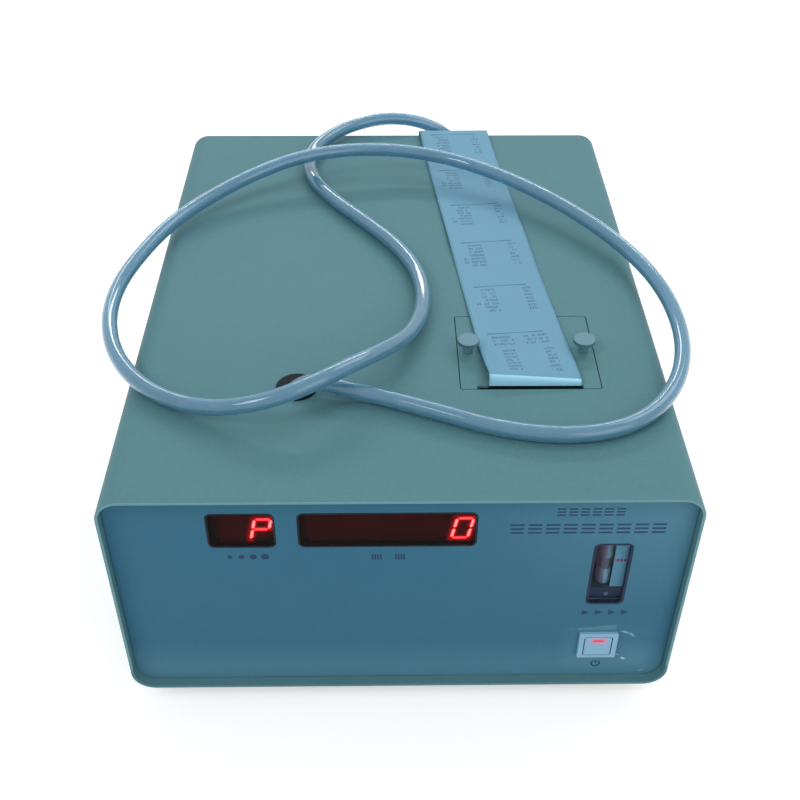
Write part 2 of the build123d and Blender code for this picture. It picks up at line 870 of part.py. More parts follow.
with BuildPart() as printer_chassis:
    with BuildSketch(Plane.XY.offset(flange_under)):
        with Locations((hatch_x, hatch_y)):
            flange_out = 2 * (hatch_gap + chassis_flange)
            RectangleRounded(hatch_width + flange_out, hatch_depth + flange_out, chassis_flange / 2)
        with Locations((chassis_x, (wall_front + cheek_rear) / 2)):
            Rectangle(cheek_spacing, cheek_rear - wall_front, mode=Mode.SUBTRACT)
    extrude(amount=chassis_flange_thickness)
    with BuildSketch(Plane.YZ.offset(chassis_x)):
        with Locations(((cheek_front + cheek_rear) / 2, (chassis_floor_z + flange_under) / 2)):
            Rectangle(cheek_rear - cheek_front, flange_under - chassis_floor_z)
    extrude(amount=cheek_outside, both=True)
    with BuildSketch(Plane.YZ.offset(chassis_x)):
        inside_low = chassis_floor_z + cheek_thickness
        with Locations(((wall_front + cheek_rear) / 2 + cheek_thickness, (inside_low + case_top) / 2)):
            Rectangle(cheek_rear - wall_front + 2 * cheek_thickness, case_top - inside_low)
    extrude(amount=cheek_inside, both=True, mode=Mode.SUBTRACT)
    with BuildSketch(Plane.XY.offset(flange_under - boss_height)):
        with Locations(*thumb_places):
            Circle(boss_diameter / 2)
    extrude(amount=boss_height)
    with BuildSketch(Plane.XY.offset(flange_under - boss_height)):
        with Locations(*thumb_places):
            Circle(thumb_shank / 2 + thumb_hole_gap)
    extrude(amount=boss_height + chassis_flange_thickness, mode=Mode.SUBTRACT)
    with BuildSketch(Plane.YZ.offset(chassis_x)):
        with Locations((platen_y, platen_z), (roll_y, roll_z)):
            Circle(platen_shaft / 2 + shaft_gap)
    extrude(amount=cheek_outside, both=True, mode=Mode.SUBTRACT)
    with BuildSketch(Plane.YZ.offset(chassis_x - cheek_inside)):
        with Locations((platen_y, platen_z), (roll_y, roll_z)):
            Circle(platen_shaft / 2 + shaft_gap)
    extrude(amount=cheek_spacing, mode=Mode.SUBTRACT)
save(printer_chassis.part, "printer_chassis")

roller_length = paper_width + 2 * roller_overhang
with BuildPart() as platen_roller:
    with BuildSketch(Plane.YZ.offset(chassis_x - roller_length / 2)):
        with Locations((platen_y, platen_z)):
            Circle(platen_diameter / 2)
    extrude(amount=roller_length)
    shaft_left = chassis_x - cheek_outside - shaft_overhang
    with BuildSketch(Plane.YZ.offset(shaft_left)):
        with Locations((platen_y, platen_z)):
            Circle(platen_shaft / 2)
    extrude(amount=gear_x - shaft_left)
save(platen_roller.part, "platen_roller")

with BuildPart() as roll_spindle:
    with BuildSketch(Plane.YZ.offset(chassis_x - roller_length / 2)):
        with Locations((roll_y, roll_z)):
            Circle(roll_core / 2 - spindle_gap)
    extrude(amount=roller_length)
    with BuildSketch(Plane.YZ.offset(shaft_left)):
        with Locations((roll_y, roll_z)):
            Circle(platen_shaft / 2)
    extrude(amount=2 * (cheek_outside + shaft_overhang))
save(roll_spindle.part, "roll_spindle")

with BuildPart() as paper_roll:
    with BuildSketch(Plane.YZ.offset(paper_x - paper_width / 2)):
        with Locations((roll_y, roll_z)):
            Circle(roll_diameter / 2)
            Circle(roll_core / 2, mode=Mode.SUBTRACT)
    extrude(amount=paper_width)
save(paper_roll.part, "paper_roll")

with BuildPart() as print_head:
    with BuildSketch(facing_front(wall_front + head_thickness)):
        with Locations((chassis_x, platen_z)):
            Rectangle(paper_width + 2 * head_overhang, head_height)
    extrude(amount=head_thickness)
save(print_head.part, "print_head")


def gear_outline(teeth, first_angle, y, z):
    """Involute tooth outline; the first tooth points along first_angle, in degrees."""
    pitch_radius = gear_module * teeth / 2
    base_radius = pitch_radius * cos(radians(pressure_degrees))
    tip_radius = pitch_radius + addendum_share * gear_module
    root_radius = pitch_radius - dedendum_share * gear_module
    pitch_half = pi / 2 / teeth * tooth_share

    def involute(radius):
        pressure = max(0.0, 1 - (base_radius / radius) ** 2) ** 0.5
        slope = pressure * radius / base_radius
        return slope - pressure_angle(pressure)

    def half_angle(radius):
        return pitch_half + involute(pitch_radius) - involute(max(radius, base_radius))

    radii = (root_radius, pitch_radius, tip_radius)
    profile = [(radius, -half_angle(radius)) for radius in radii]
    profile += [(radius, -angle) for radius, angle in reversed(profile)]
    points = []
    for tooth in range(teeth):
        centre = radians(first_angle) + tooth * 2 * pi / teeth
        points += [(y + r * cos(centre + a), z + r * sin(centre + a)) for r, a in profile]
    return points


def pressure_angle(sine):
    """Angle in radians whose sine is given."""
    return Vector((1 - sine**2) ** 0.5, sine, 0).get_angle(Vector(1, 0, 0)) * pi / 180


with BuildPart() as platen_gear:
    with BuildSketch(Plane.YZ.offset(gear_x)):
        Polygon(*gear_outline(platen_teeth, -90, platen_y, platen_z), align=None)
    extrude(amount=gear_width)
save(platen_gear.part, "platen_gear")

motor_face = gear_x + gear_width + gear_side_gap
with BuildPart() as motor_pinion:
    with BuildSketch(Plane.YZ.offset(gear_x)):
        Polygon(*gear_outline(pinion_teeth, 90 + 180 / pinion_teeth, pinion_y, pinion_z), align=None)
    extrude(amount=gear_width)
    with BuildSketch(Plane.YZ.offset(gear_x)):
        with Locations((pinion_y, pinion_z)):
            Circle(motor_shaft / 2)
    extrude(amount=motor_face - gear_x + shaft_in_motor)
save(motor_pinion.part, "motor_pinion")

with BuildPart() as printer_motor:
    with BuildSketch(Plane.YZ.offset(motor_face)):
        with Locations((pinion_y, pinion_z)):
            Circle(motor_diameter / 2)
    extrude(amount=motor_length)
    with BuildSketch(Plane.YZ.offset(motor_face)):
        with Locations((pinion_y, pinion_z)):
            SlotOverall(ear_spacing + ear_width, ear_width)
    extrude(amount=ear_thickness)
    with BuildSketch(Plane.YZ.offset(chassis_x + cheek_outside)):
        with Locations((pinion_y - ear_spacing / 2, pinion_z), (pinion_y + ear_spacing / 2, pinion_z)):
            Circle(pillar_diameter / 2)
    extrude(amount=motor_face - chassis_x - cheek_outside)
    with BuildSketch(Plane.YZ.offset(motor_face)):
        with Locations((pinion_y, pinion_z)):
            Circle(motor_shaft / 2 + shaft_gap)
    extrude(amount=motor_bore_depth, mode=Mode.SUBTRACT)
save(printer_motor.part, "printer_motor")


# ================================================================ paper strip
tail_y = rear_rim + paper_tail_gap
skew = radians(paper_skew)
strip_plane = Plane(
    origin=(paper_x, feed_y, case_top), x_dir=(-sin(skew), cos(skew), 0), z_dir=(cos(skew), sin(skew), 0)
)
back_run = (tail_y - feed_y) / cos(skew)
with BuildPart() as paper_strip:
    with BuildSketch(Plane.YZ.offset(paper_x)):
        with BuildLine() as web_line:
            FilletPolyline(
                (feed_y, case_top + paper_crest), (feed_y, roll_bottom), (roll_y, roll_bottom),
                radius=paper_bend,
            )
        trace(line_width=paper_thickness)
    extrude(amount=paper_width / 2, both=True)
    with BuildSketch(strip_plane) as laid_section:
        with BuildLine() as laid_line:
            FilletPolyline(
                (-paper_bend, paper_crest), (paper_bend, paper_crest), (6 * paper_bend, paper_lift),
                (18 * paper_bend, paper_lift), (24 * paper_bend, 2 * paper_lift),
                (31 * paper_bend, paper_lift), (back_run - 5 * paper_bend, paper_lift),
                (back_run - 2 * paper_bend, paper_wave),
                (back_run + paper_bend, paper_wave), radius=2 * paper_bend,
            )
        trace(line_width=paper_thickness)
    laid = extrude(amount=paper_width / 2, both=True, mode=Mode.PRIVATE)
    front_cut = Plane(origin=(0, feed_y - paper_thickness / 2, 0), z_dir=(0, 1, 0))
    rear_cut = Plane(origin=(0, tail_y + paper_thickness, 0), z_dir=(0, -1, 0))
    trimmed = split(laid, bisect_by=front_cut, keep=Keep.TOP, mode=Mode.PRIVATE)
    add(split(trimmed, bisect_by=rear_cut, keep=Keep.TOP, mode=Mode.PRIVATE))
    with BuildSketch(facing_front(tail_y)):
        tail_top = case_top + paper_wave + paper_thickness / 2
        tail_x = paper_x - (tail_y - feed_y) * tan(skew)
        half = paper_width / 2 / cos(skew)
        shift = paper_tail * tan(skew)
        Polygon(
            (tail_x - half, tail_top), (tail_x + half, tail_top),
            (tail_x + half - shift, tail_top - paper_tail), (tail_x - half - shift, tail_top - paper_tail),
            align=None,
        )
    extrude(amount=-paper_thickness)
save(paper_strip.part, "paper_strip")


# ================================================================ grommet and sampling tube
# The tube leaves the rubber grommet at a slant, lies on the cover in one large
# turn and one small one, and hangs over the rear edge down to the floor.
exit_direction = Vector(
    cos(radians(exit_elevation)) * cos(radians(exit_turn)),
    -cos(radians(exit_elevation)) * sin(radians(exit_turn)),
    sin(radians(exit_elevation)),
)
exit_point = Vector(grommet_x, grommet_y, case_top + exit_rise)
tube_end = exit_point - exit_direction * tube_start
tube_route = [
    tube_end,
    exit_point + exit_direction * exit_straight,
    (-27.5, -100.5, 146.0),
    (-10, -104.5, 144.4),
    (14, -114, 144.2),
    (46, -128.5, 144.2),
    (80, -133.5, 144.2),
    (110, -125, 144.4),
    (131, -101, 145.3),
    (141, -71, 146.3),
    (142, -39, 147.4),
    (136, -8, 148.6),
    (123, 21, 149.8),
    (105, 48, 151.2),
    (84, 72, 152.5),
    (61, 93, 153.4),
    (34, 110, 154.6),
    (4, 117, 156.6),
    (-27, 115, 158.4),
    (-58, 106.5, 157.8),
    (-86, 91.5, 153.6),
    (-110, 71.5, 149.6),
    (-129, 46, 147.2),
    (-141, 17, 145.7),
    (-148.5, -13, 144.8),
    (-147.8, -44, 144.4),
    (-138, -75, 144.4),
    (-119, -100, 144.6),
    (-93, -115, 146.0),
    (-66, -121.5, 153.5),
    (-43, -117.5, 160.2),
    (-22, -100.5, 160.2),
    (-5, -79, 153.5),
    (7, -57, 146.5),
    (14, -31, 144.2),
    (12.5, -1, 144.2),
    (1, 27, 144.2),
    (-17, 53, 144.2),
    (-37, 79, 144.2),
    (-52, 107, 144.2),
    (-54, 138, 144.8),
    (-37, 164, 146.7),
    (-12, 177.5, 147.9),
    (5.0, 180.5, 147.0),
    (20, 182, 142.9),
    (34, 183.5, 135.3),
    (46.5, 186, 121.5),
    (54.5, 189, 103),
    (60, 193, 78),
    (65, 199, 48),
    (74, 210, 20),
    (93, 226, 5.0),
    (119, 237, 4.2),
    (146, 241, 4.2),
]
run_share = 0.45


def bend_radii(route):
    """Radius at each inner point: its share of the shorter run over the tangent of half the turn."""
    radii = []
    for before, here, after in zip(route, route[1:], route[2:]):
        arriving, leaving = Vector(here) - Vector(before), Vector(after) - Vector(here)
        half_turn = radians(arriving.get_angle(leaving)) / 2
        radii.append(run_share * min(arriving.length, leaving.length) / tan(half_turn))
    return radii


tube_radii = bend_radii(tube_route)
print("tube radii", [round(radius) for radius in tube_radii])
print("tube runs", [round((Vector(b) - Vector(a)).length) for a, b in zip(tube_route, tube_route[1:])])

with BuildPart() as sampling_tube:
    with BuildLine() as tube_path:
        FilletPolyline(*tube_route, radius=tube_radii)
    with BuildSketch(Plane(origin=tube_end, z_dir=exit_direction)):
        Circle(tube_diameter / 2)
    sweep()
    with BuildSketch(Plane(origin=tube_end, z_dir=exit_direction)):
        Circle(tube_bore / 2)
    extrude(amount=spigot_barb_length + bore_room, mode=Mode.SUBTRACT)
    with BuildSketch(Plane(origin=tube_route[-1], z_dir=Vector(tube_route[-2]) - Vector(tube_route[-1]))):
        Circle(tube_bore / 2)
    extrude(amount=open_bore, mode=Mode.SUBTRACT)
tube_length = tube_path.wires()[0].length
tube_ratio = sampling_tube.part.volume / (tube_length * pi * tube_diameter**2 / 4)
print("tube length", round(tube_length), "volume against section times length", round(tube_ratio, 4))
save(sampling_tube.part, "sampling_tube")

with BuildPart() as tube_grommet:
    with BuildSketch(Plane(origin=(grommet_x, grommet_y, case_top))):
        Circle(grommet_diameter / 2)
    extrude(amount=grommet_flange)
    chamfer(tube_grommet.faces().sort_by(Axis.Z)[-1].edges(), grommet_edge)
    with BuildSketch(Plane(origin=(grommet_x, grommet_y, top_underside))):
        Circle(grommet_neck / 2)
    extrude(amount=sheet)
    with BuildSketch(Plane(origin=(grommet_x, grommet_y, top_underside - grommet_flange))):
        Circle(grommet_diameter / 2)
    extrude(amount=grommet_flange)
    with BuildSketch(Plane(origin=exit_point, z_dir=exit_direction)):
        Circle(tube_diameter / 2)
    extrude(amount=grommet_diameter / 2, both=True, mode=Mode.SUBTRACT)
save(tube_grommet.part, "tube_grommet")


# ================================================================ optical sensor
sensor_x = -case_width / 2 + sensor_from_left
sensor_top = case_top - sensor_below_top
sensor_nipple_z = sensor_top - nipple_below_sensor_top
sensor_width, sensor_depth, sensor_height = sensor_size
sensor_bottom = sensor_top - sensor_height
sensor_front = sensor_y - sensor_depth / 2
sensor_rear = sensor_y + sensor_depth / 2
sensor_left = sensor_x - sensor_width / 2
spigot_foot = tube_end - exit_direction * ((tube_end.Z - sensor_top) / exit_direction.Z)
spigot_plane = Plane(origin=spigot_foot, z_dir=exit_direction)
spigot_length = (tube_end - spigot_foot).length

with BuildPart() as optical_sensor:
    with BuildSketch(Plane.XY.offset(sensor_bottom)):
        with Locations((sensor_x, sensor_y)):
            RectangleRounded(sensor_width, sensor_depth, sensor_corner)
    extrude(amount=sensor_height)
    chamfer(optical_sensor.faces().sort_by(Axis.Z)[-1].edges(), sensor_chamfer)
    with BuildSketch(spigot_plane.offset(-spigot_seat)):
        Circle(spigot_diameter / 2 + hose_gap)
    extrude(amount=spigot_seat + spigot_diameter, mode=Mode.SUBTRACT)
    extrude_depth = laser_diameter / 2
    with BuildSketch(Plane.YZ.offset(sensor_left)):
        with Locations((sensor_y, sensor_nipple_z)):
            Circle(laser_diameter / 2 + hose_gap)
    extrude(amount=extrude_depth, mode=Mode.SUBTRACT)
    with BuildSketch(facing_rear(sensor_rear)):
        with Locations((-sensor_x, sensor_nipple_z)):
            Circle(hose_inner / 2 - hose_gap)
    extrude(amount=hose_barb_length)
save(optical_sensor.part, "optical_sensor")

with BuildPart() as inlet_spigot:
    with BuildSketch(spigot_plane.offset(-spigot_seat)):
        Circle(spigot_diameter / 2)
    extrude(amount=spigot_seat + spigot_length)
    with BuildSketch(spigot_plane.offset(spigot_length)):
        Circle(spigot_barb / 2)
    extrude(amount=spigot_barb_length)
    with BuildSketch(spigot_plane.offset(-spigot_seat)):
        Circle(spigot_barb / 2 - spigot_wall)
    extrude(amount=spigot_seat + spigot_length + spigot_barb_length, mode=Mode.SUBTRACT)
save(inlet_spigot.part, "inlet_spigot")

with BuildPart() as laser_module:
    with BuildSketch(Plane.YZ.offset(sensor_left + extrude_depth)):
        with Locations((sensor_y, sensor_nipple_z)):
            Circle(laser_diameter / 2)
    extrude(amount=-laser_length)
    with BuildSketch(Plane.YZ.offset(sensor_left)):
        with Locations((sensor_y, sensor_nipple_z)):
            Circle(laser_diameter / 2 + laser_flange)
    extrude(amount=-laser_flange_thickness)
save(laser_module.part, "laser_module")

with BuildPart() as photodetector:
    with BuildSketch(facing_front(sensor_front)):
        with Locations((sensor_x, sensor_nipple_z)):
            Rectangle(detector_size[0], detector_size[1])
    extrude(amount=detector_size[2])
    with BuildSketch(facing_front(sensor_front - detector_size[2])):
        with Locations((sensor_x, sensor_nipple_z)):
            board_margin = 2 * detector_board_margin
            Rectangle(detector_size[0] + board_margin, detector_size[1] + board_margin)
    extrude(amount=board_thickness)
save(photodetector.part, "photodetector")

with BuildPart() as sensor_stand:
    with BuildSketch(facing_front(sensor_front)):
        with Locations((sensor_x, sensor_bottom - stand_sheet / 2)):
            Rectangle(sensor_width, stand_sheet)
        leg_z = (floor_top + sensor_bottom) / 2
        for side in (-1, 1):
            with Locations((sensor_x + side * (sensor_width - stand_sheet) / 2, leg_z)):
                Rectangle(stand_sheet, sensor_bottom - floor_top)
            with Locations((sensor_x + side * (sensor_width + stand_foot) / 2, floor_top + stand_sheet / 2)):
                Rectangle(stand_foot, stand_sheet)
    extrude(amount=-sensor_depth)
save(sensor_stand.part, "sensor_stand")


# ================================================================ pump, filter, transformer, board
pump_x = -case_width / 2 + pump_from_left
pump_width, pump_depth, pump_height = pump_size
pump_top = floor_top + pump_height
pump_port_xs = (pump_x - pump_width / 4, pump_x + pump_width / 4)
with BuildPart() as air_pump:
    with BuildSketch(Plane.XY.offset(floor_top)):
        with Locations((pump_x, pump_y)):
            RectangleRounded(pump_width, pump_depth, pump_corner)
    extrude(amount=pump_height)
    with BuildSketch(Plane.XY.offset(pump_top)):
        with Locations(*[(x, pump_y) for x in pump_port_xs]):
            Circle(hose_inner / 2 - hose_gap)
    extrude(amount=hose_barb_length)
save(air_pump.part, "air_pump")

with BuildPart() as pump_motor:
    with BuildSketch(facing_rear(pump_y + pump_depth / 2)):
        with Locations((-pump_x, floor_top + pump_height / 2)):
            Circle(pump_motor_diameter / 2)
    extrude(amount=pump_motor_length)
    chamfer(pump_motor.faces().sort_by(Axis.Y)[-1].edges(), pump_motor_edge)
save(pump_motor.part, "pump_motor")

board_x = case_width / 2 - sheet - board_side_gap - main_board_size[0] / 2
filter_x = board_x - main_board_size[0] / 2 - filter_board_gap - filter_diameter / 2
filter_top = floor_top + filter_height
with BuildPart() as air_filter:
    with BuildSketch(Plane.XY.offset(floor_top)):
        with Locations((filter_x, filter_y)):
            Circle(filter_diameter / 2)
    extrude(amount=filter_height)
    chamfer(air_filter.edges().filter_by(GeomType.CIRCLE), filter_edge)
    with BuildSketch(Plane.XY.offset(filter_top)):
        with Locations((filter_x, filter_y)):
            Circle(hose_inner / 2 - hose_gap)
    extrude(amount=hose_barb_length)
    with BuildSketch(Plane.YZ.offset(filter_x)):
        with Locations((filter_y, port_low_z)):
            Circle(hose_inner / 2 - hose_gap)
    extrude(amount=filter_diameter / 2 + hose_barb_length)
save(air_filter.part, "air_filter")

transformer_x = -case_width / 2 + transformer_from_left
with BuildPart() as transformer_core:
    with BuildSketch(facing_front(transformer_y - core_size[1] / 2)):
        with Locations((transformer_x, floor_top + core_size[2] / 2)):
            Rectangle(core_size[0], core_size[2])
            for side in (-1, 1):
                with Locations((side * core_size[0] / 4, 0)):
                    Rectangle(core_size[0] / 6, coil_size[2], mode=Mode.SUBTRACT)
    extrude(amount=-core_size[1])
save(transformer_core.part, "transformer_core")

limb = core_size[0] / 3
with BuildPart() as transformer_coil:
    with BuildSketch(Plane.XY.offset(floor_top + (core_size[2] - coil_size[2]) / 2 + coil_gap)):
        with Locations((transformer_x, transformer_y)):
            RectangleRounded(limb + core_size[0] / 3 - 2 * coil_gap, coil_size[1], coil_corner)
            Rectangle(limb + 2 * coil_gap, core_size[1] + 2 * coil_gap, mode=Mode.SUBTRACT)
    extrude(amount=coil_size[2] - 2 * coil_gap)
save(transformer_coil.part, "transformer_coil")

board_z = floor_top + board_standoff_height
board_spread = [size - 2 * board_hole_inset for size in main_board_size]
board_holes = [(board_x + sx * board_spread[0] / 2, board_y + sy * board_spread[1] / 2)
               for sx in (-1, 1) for sy in (-1, 1)]
with BuildPart() as main_board:
    with BuildSketch(Plane.XY.offset(board_z)):
        with Locations((board_x, board_y)):
            Rectangle(*main_board_size)
        with Locations(*board_holes):
            Circle(screw_hole / 2, mode=Mode.SUBTRACT)
    extrude(amount=board_thickness)
save(main_board.part, "main_board")

with BuildPart() as board_standoffs:
    with BuildSketch(Plane.XY.offset(floor_top)):
        with Locations(*board_holes):
            Circle(standoff_diameter / 2)
    extrude(amount=board_standoff_height)
    with BuildSketch(Plane.XY.offset(floor_top)):
        with Locations(*board_holes):
            Circle(screw_shank / 2)
    extrude(amount=board_standoff_height + board_thickness + standoff_stud)
save(board_standoffs.part, "board_standoffs")

board_top = board_z + board_thickness
with BuildPart() as board_components:
    with BuildSketch(Plane.XY.offset(board_top)):
        with Locations(*[(board_x + x, board_y + y) for x, y in chip_places]):
            Rectangle(*chip_size)
        with Locations((board_x + long_chip_place[0], board_y + long_chip_place[1])):
            Rectangle(*long_chip_size)
    extrude(amount=chip_height)
    with BuildSketch(Plane.XY.offset(board_top)):
        with Locations(*[(board_x + x, board_y + y) for x, y in capacitor_places]):
            Circle(capacitor_diameter / 2)
    extrude(amount=capacitor_height)
    with BuildSketch(Plane.XY.offset(board_top)):
        with Locations((board_x, board_y - main_board_size[1] / 2 + front_socket_inset)):
            Rectangle(*front_socket_size)
        with Locations((board_x + rear_socket_offset, board_y + main_board_size[1] / 2 - rear_socket_inset)):
            Rectangle(*rear_socket_size)
    extrude(amount=socket_strip_height)
save(board_components.part, "board_components")


# ================================================================ rear panel and its fittings
exhaust_z = case_top - exhaust_below_top
vent_z = case_top - vent_below_top
vent_places = [(vent_x + (i - (vent_count - 1) / 2) * vent_pitch, vent_z) for i in range(vent_count)]
drawer_z = inlet_z - drawer_drop
socket_z = inlet_z + socket_rise
exhaust_hole = exhaust_diameter + 2 * inlet_gap

with BuildPart() as rear_panel:
    with BuildSketch(facing_front(rear_face)):
        with Locations((0, case_middle)):
            add(case_section(sheet + panel_gap))
        with Locations((inlet_x, inlet_z)):
            Rectangle(inlet_body[0] + 2 * inlet_gap, inlet_body[1] + 2 * inlet_gap, mode=Mode.SUBTRACT)
        with Locations((exhaust_x, exhaust_z)):
            Circle(exhaust_hole / 2, mode=Mode.SUBTRACT)
        with Locations(*vent_places):
            SlotOverall(vent_height, vent_width, rotation=90, mode=Mode.SUBTRACT)
    extrude(amount=panel_thickness)
    with BuildSketch(facing_front(rear_inside)):
        with Locations((0, floor_top + panel_thickness / 2)):
            Rectangle(panel_flange_width, panel_thickness)
    extrude(amount=panel_flange)
    with BuildSketch(Plane.XY.offset(floor_top)):
        with Locations(*[(x, rear_flange_y) for x in flange_screw_xs]):
            Circle(screw_hole / 2)
    extrude(amount=panel_thickness, mode=Mode.SUBTRACT)
save(rear_panel.part, "rear_panel")

inlet_face = rear_face + inlet_flange_thickness
with BuildPart() as mains_inlet:
    with BuildSketch(facing_rear(rear_face)):
        with Locations((-inlet_x, inlet_z)):
            RectangleRounded(*inlet_flange, inlet_flange_corner)
    extrude(amount=inlet_flange_thickness)
    with BuildSketch(facing_rear(rear_face)):
        with Locations((-inlet_x, inlet_z)):
            Rectangle(*inlet_body)
    extrude(amount=-inlet_body_depth)
    with BuildSketch(facing_rear(inlet_face)):
        with Locations((-inlet_x, socket_z)):
            half_width, half_height = socket_width / 2, socket_height / 2
            Polygon(
                (-half_width, -half_height), (half_width, -half_height),
                (half_width, half_height - socket_chamfer), (half_width - socket_chamfer, half_height),
                (-half_width + socket_chamfer, half_height), (-half_width, half_height - socket_chamfer),
                align=None,
            )
    extrude(amount=-socket_depth, mode=Mode.SUBTRACT)
    with BuildSketch(facing_rear(inlet_face)):
        with Locations((-inlet_x, drawer_z)):
            Rectangle(drawer_width + 2 * drawer_gap, drawer_height + 2 * drawer_gap)
    extrude(amount=-drawer_depth - drawer_gap, mode=Mode.SUBTRACT)
save(mains_inlet.part, "mains_inlet")

socket_floor = inlet_face - socket_depth
with BuildPart() as inlet_pins:
    with BuildSketch(facing_rear(socket_floor)):
        with Locations((-inlet_x - pin_spacing / 2, socket_z - earth_offset / 2),
                       (-inlet_x + pin_spacing / 2, socket_z - earth_offset / 2),
                       (-inlet_x, socket_z + earth_offset / 2)):
            Rectangle(pin_thickness, pin_width)
    extrude(amount=pin_length)
save(inlet_pins.part, "inlet_pins")

with BuildPart() as fuse_drawer:
    with BuildSketch(facing_rear(inlet_face)):
        with Locations((-inlet_x, drawer_z)):
            Rectangle(drawer_width, drawer_height)
    extrude(amount=-drawer_depth)
    with BuildSketch(facing_rear(inlet_face)):
        with Locations((-inlet_x, drawer_z + drawer_height / 2)):
            Rectangle(drawer_width / 3, pull_height)
    extrude(amount=-pull_depth, mode=Mode.SUBTRACT)
    with BuildSketch(Plane.YZ.offset(inlet_x)):
        with Locations((inlet_face - drawer_depth / 2, drawer_z)):
            Circle(fuse_diameter / 2 + hose_gap)
    extrude(amount=fuse_length / 2, both=True, mode=Mode.SUBTRACT)
save(fuse_drawer.part, "fuse_drawer")

with BuildPart() as exhaust_spigot:
    with BuildSketch(facing_rear(rear_face)):
        with Locations((-exhaust_x, exhaust_z)):
            RegularPolygon(exhaust_nut / 2, 6, major_radius=False)
    extrude(amount=exhaust_nut_thickness)
    with BuildSketch(facing_rear(rear_inside)):
        with Locations((-exhaust_x, exhaust_z)):
            Circle(exhaust_diameter / 2)
    extrude(amount=panel_thickness + exhaust_reach)
    with BuildSketch(facing_rear(rear_inside)):
        with Locations((-exhaust_x, exhaust_z)):
            Circle(exhaust_nut / 2)
    extrude(amount=-exhaust_nut_thickness / 2)
    with BuildSketch(facing_rear(rear_inside - exhaust_nut_thickness / 2)):
        with Locations((-exhaust_x, exhaust_z)):
            Circle(hose_inner / 2 - hose_gap)
    extrude(amount=-hose_barb_length)
    with BuildSketch(facing_rear(rear_face + exhaust_reach)):
        with Locations((-exhaust_x, exhaust_z)):
            Circle(exhaust_bore / 2)
    extrude(amount=-exhaust_reach, mode=Mode.SUBTRACT)
save(exhaust_spigot.part, "exhaust_spigot")


# ================================================================ inner hoses
def hose(route, bend, name):
    """Hose through a few corners; its ends slip over barbs of the same length."""
    with BuildPart() as hose_part:
        with BuildLine() as line:
            FilletPolyline(*route, radius=bend)
        start = Plane(origin=route[0], z_dir=Vector(route[1]) - Vector(route[0]))
        with BuildSketch(start):
            Circle(hose_outer / 2)
            Circle(hose_inner / 2, mode=Mode.SUBTRACT)
        sweep()
    save(hose_part.part, name)


sensor_port_y = sensor_rear + hose_end_gap
pump_port_z = pump_top + hose_end_gap
hose(
    [(sensor_x, sensor_port_y, sensor_nipple_z), (sensor_x, pump_y - nipple_run, sensor_nipple_z),
     (pump_port_xs[0], pump_y, sensor_nipple_z - nipple_drop), (pump_port_xs[0], pump_y, pump_port_z)],
    small_hose_bend, "hose_sensor_to_pump",
)
loop_z = filter_top + filter_loop_rise
hose(
    [(pump_port_xs[1], pump_y, pump_port_z), (pump_port_xs[1], pump_y, loop_z),
     (filter_x, filter_y, loop_z), (filter_x, filter_y, filter_top + hose_end_gap)],
    pump_hose_bend, "hose_pump_to_filter",
)
meter_port_y = meter_back + hose_end_gap
hose(
    [(filter_x + filter_diameter / 2 + hose_end_gap, filter_y, port_low_z),
     (meter_tube_x, filter_y, port_low_z), (meter_tube_x, meter_port_y, port_low_z)],
    meter_hose_bend, "hose_filter_to_meter",
)
side_x = case_width / 2 - sheet - side_hose_gap
rear_turn_y = rear_inside - rear_hose_gap
hose(
    [(meter_tube_x, meter_port_y, port_high_z), (meter_tube_x, meter_back + meter_hose_run, port_high_z),
     (side_x, meter_back + side_hose_start, port_high_z), (side_x, rear_inside - side_hose_start, exhaust_z),
     (exhaust_x + rear_hose_gap, rear_turn_y, exhaust_z), (exhaust_x, rear_turn_y, exhaust_z),
     (exhaust_x, rear_inside - exhaust_nut_thickness / 2 - hose_end_gap, exhaust_z)],
    exhaust_hose_bend, "hose_meter_to_exhaust",
)
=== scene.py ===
# Airborne particle counter: the looks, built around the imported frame
import bpy
from math import cos, pi, radians, sin, sqrt, tan
from mathutils import Matrix, Vector


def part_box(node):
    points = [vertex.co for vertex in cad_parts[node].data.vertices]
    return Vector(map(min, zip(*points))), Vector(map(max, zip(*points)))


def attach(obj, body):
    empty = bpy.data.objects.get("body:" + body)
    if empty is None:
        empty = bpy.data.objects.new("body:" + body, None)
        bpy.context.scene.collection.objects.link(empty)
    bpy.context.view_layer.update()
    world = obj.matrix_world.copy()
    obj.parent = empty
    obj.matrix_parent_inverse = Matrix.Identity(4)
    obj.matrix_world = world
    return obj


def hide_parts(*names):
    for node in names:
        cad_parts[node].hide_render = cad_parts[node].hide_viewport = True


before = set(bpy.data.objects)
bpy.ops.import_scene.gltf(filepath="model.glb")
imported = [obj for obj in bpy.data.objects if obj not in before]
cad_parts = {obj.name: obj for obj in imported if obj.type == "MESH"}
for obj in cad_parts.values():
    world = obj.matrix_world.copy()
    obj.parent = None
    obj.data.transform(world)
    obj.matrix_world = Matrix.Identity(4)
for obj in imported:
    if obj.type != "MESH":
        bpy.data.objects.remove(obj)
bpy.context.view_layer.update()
mm = 0.001
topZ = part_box("upper_cover")[1].z
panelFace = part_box("front_panel")[0].y
print("frame loaded:", len(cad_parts), "nodes")


# camera
cameraSettings = {
    "place": (-0.0066, -0.5100, 0.4804),
    "pitch": 39.85,  # degrees below level
    "yaw": 0.97,  # degrees to the right
    "roll": 0.33,
    "lens": 50.55,
    "sensor": 36.0,
}


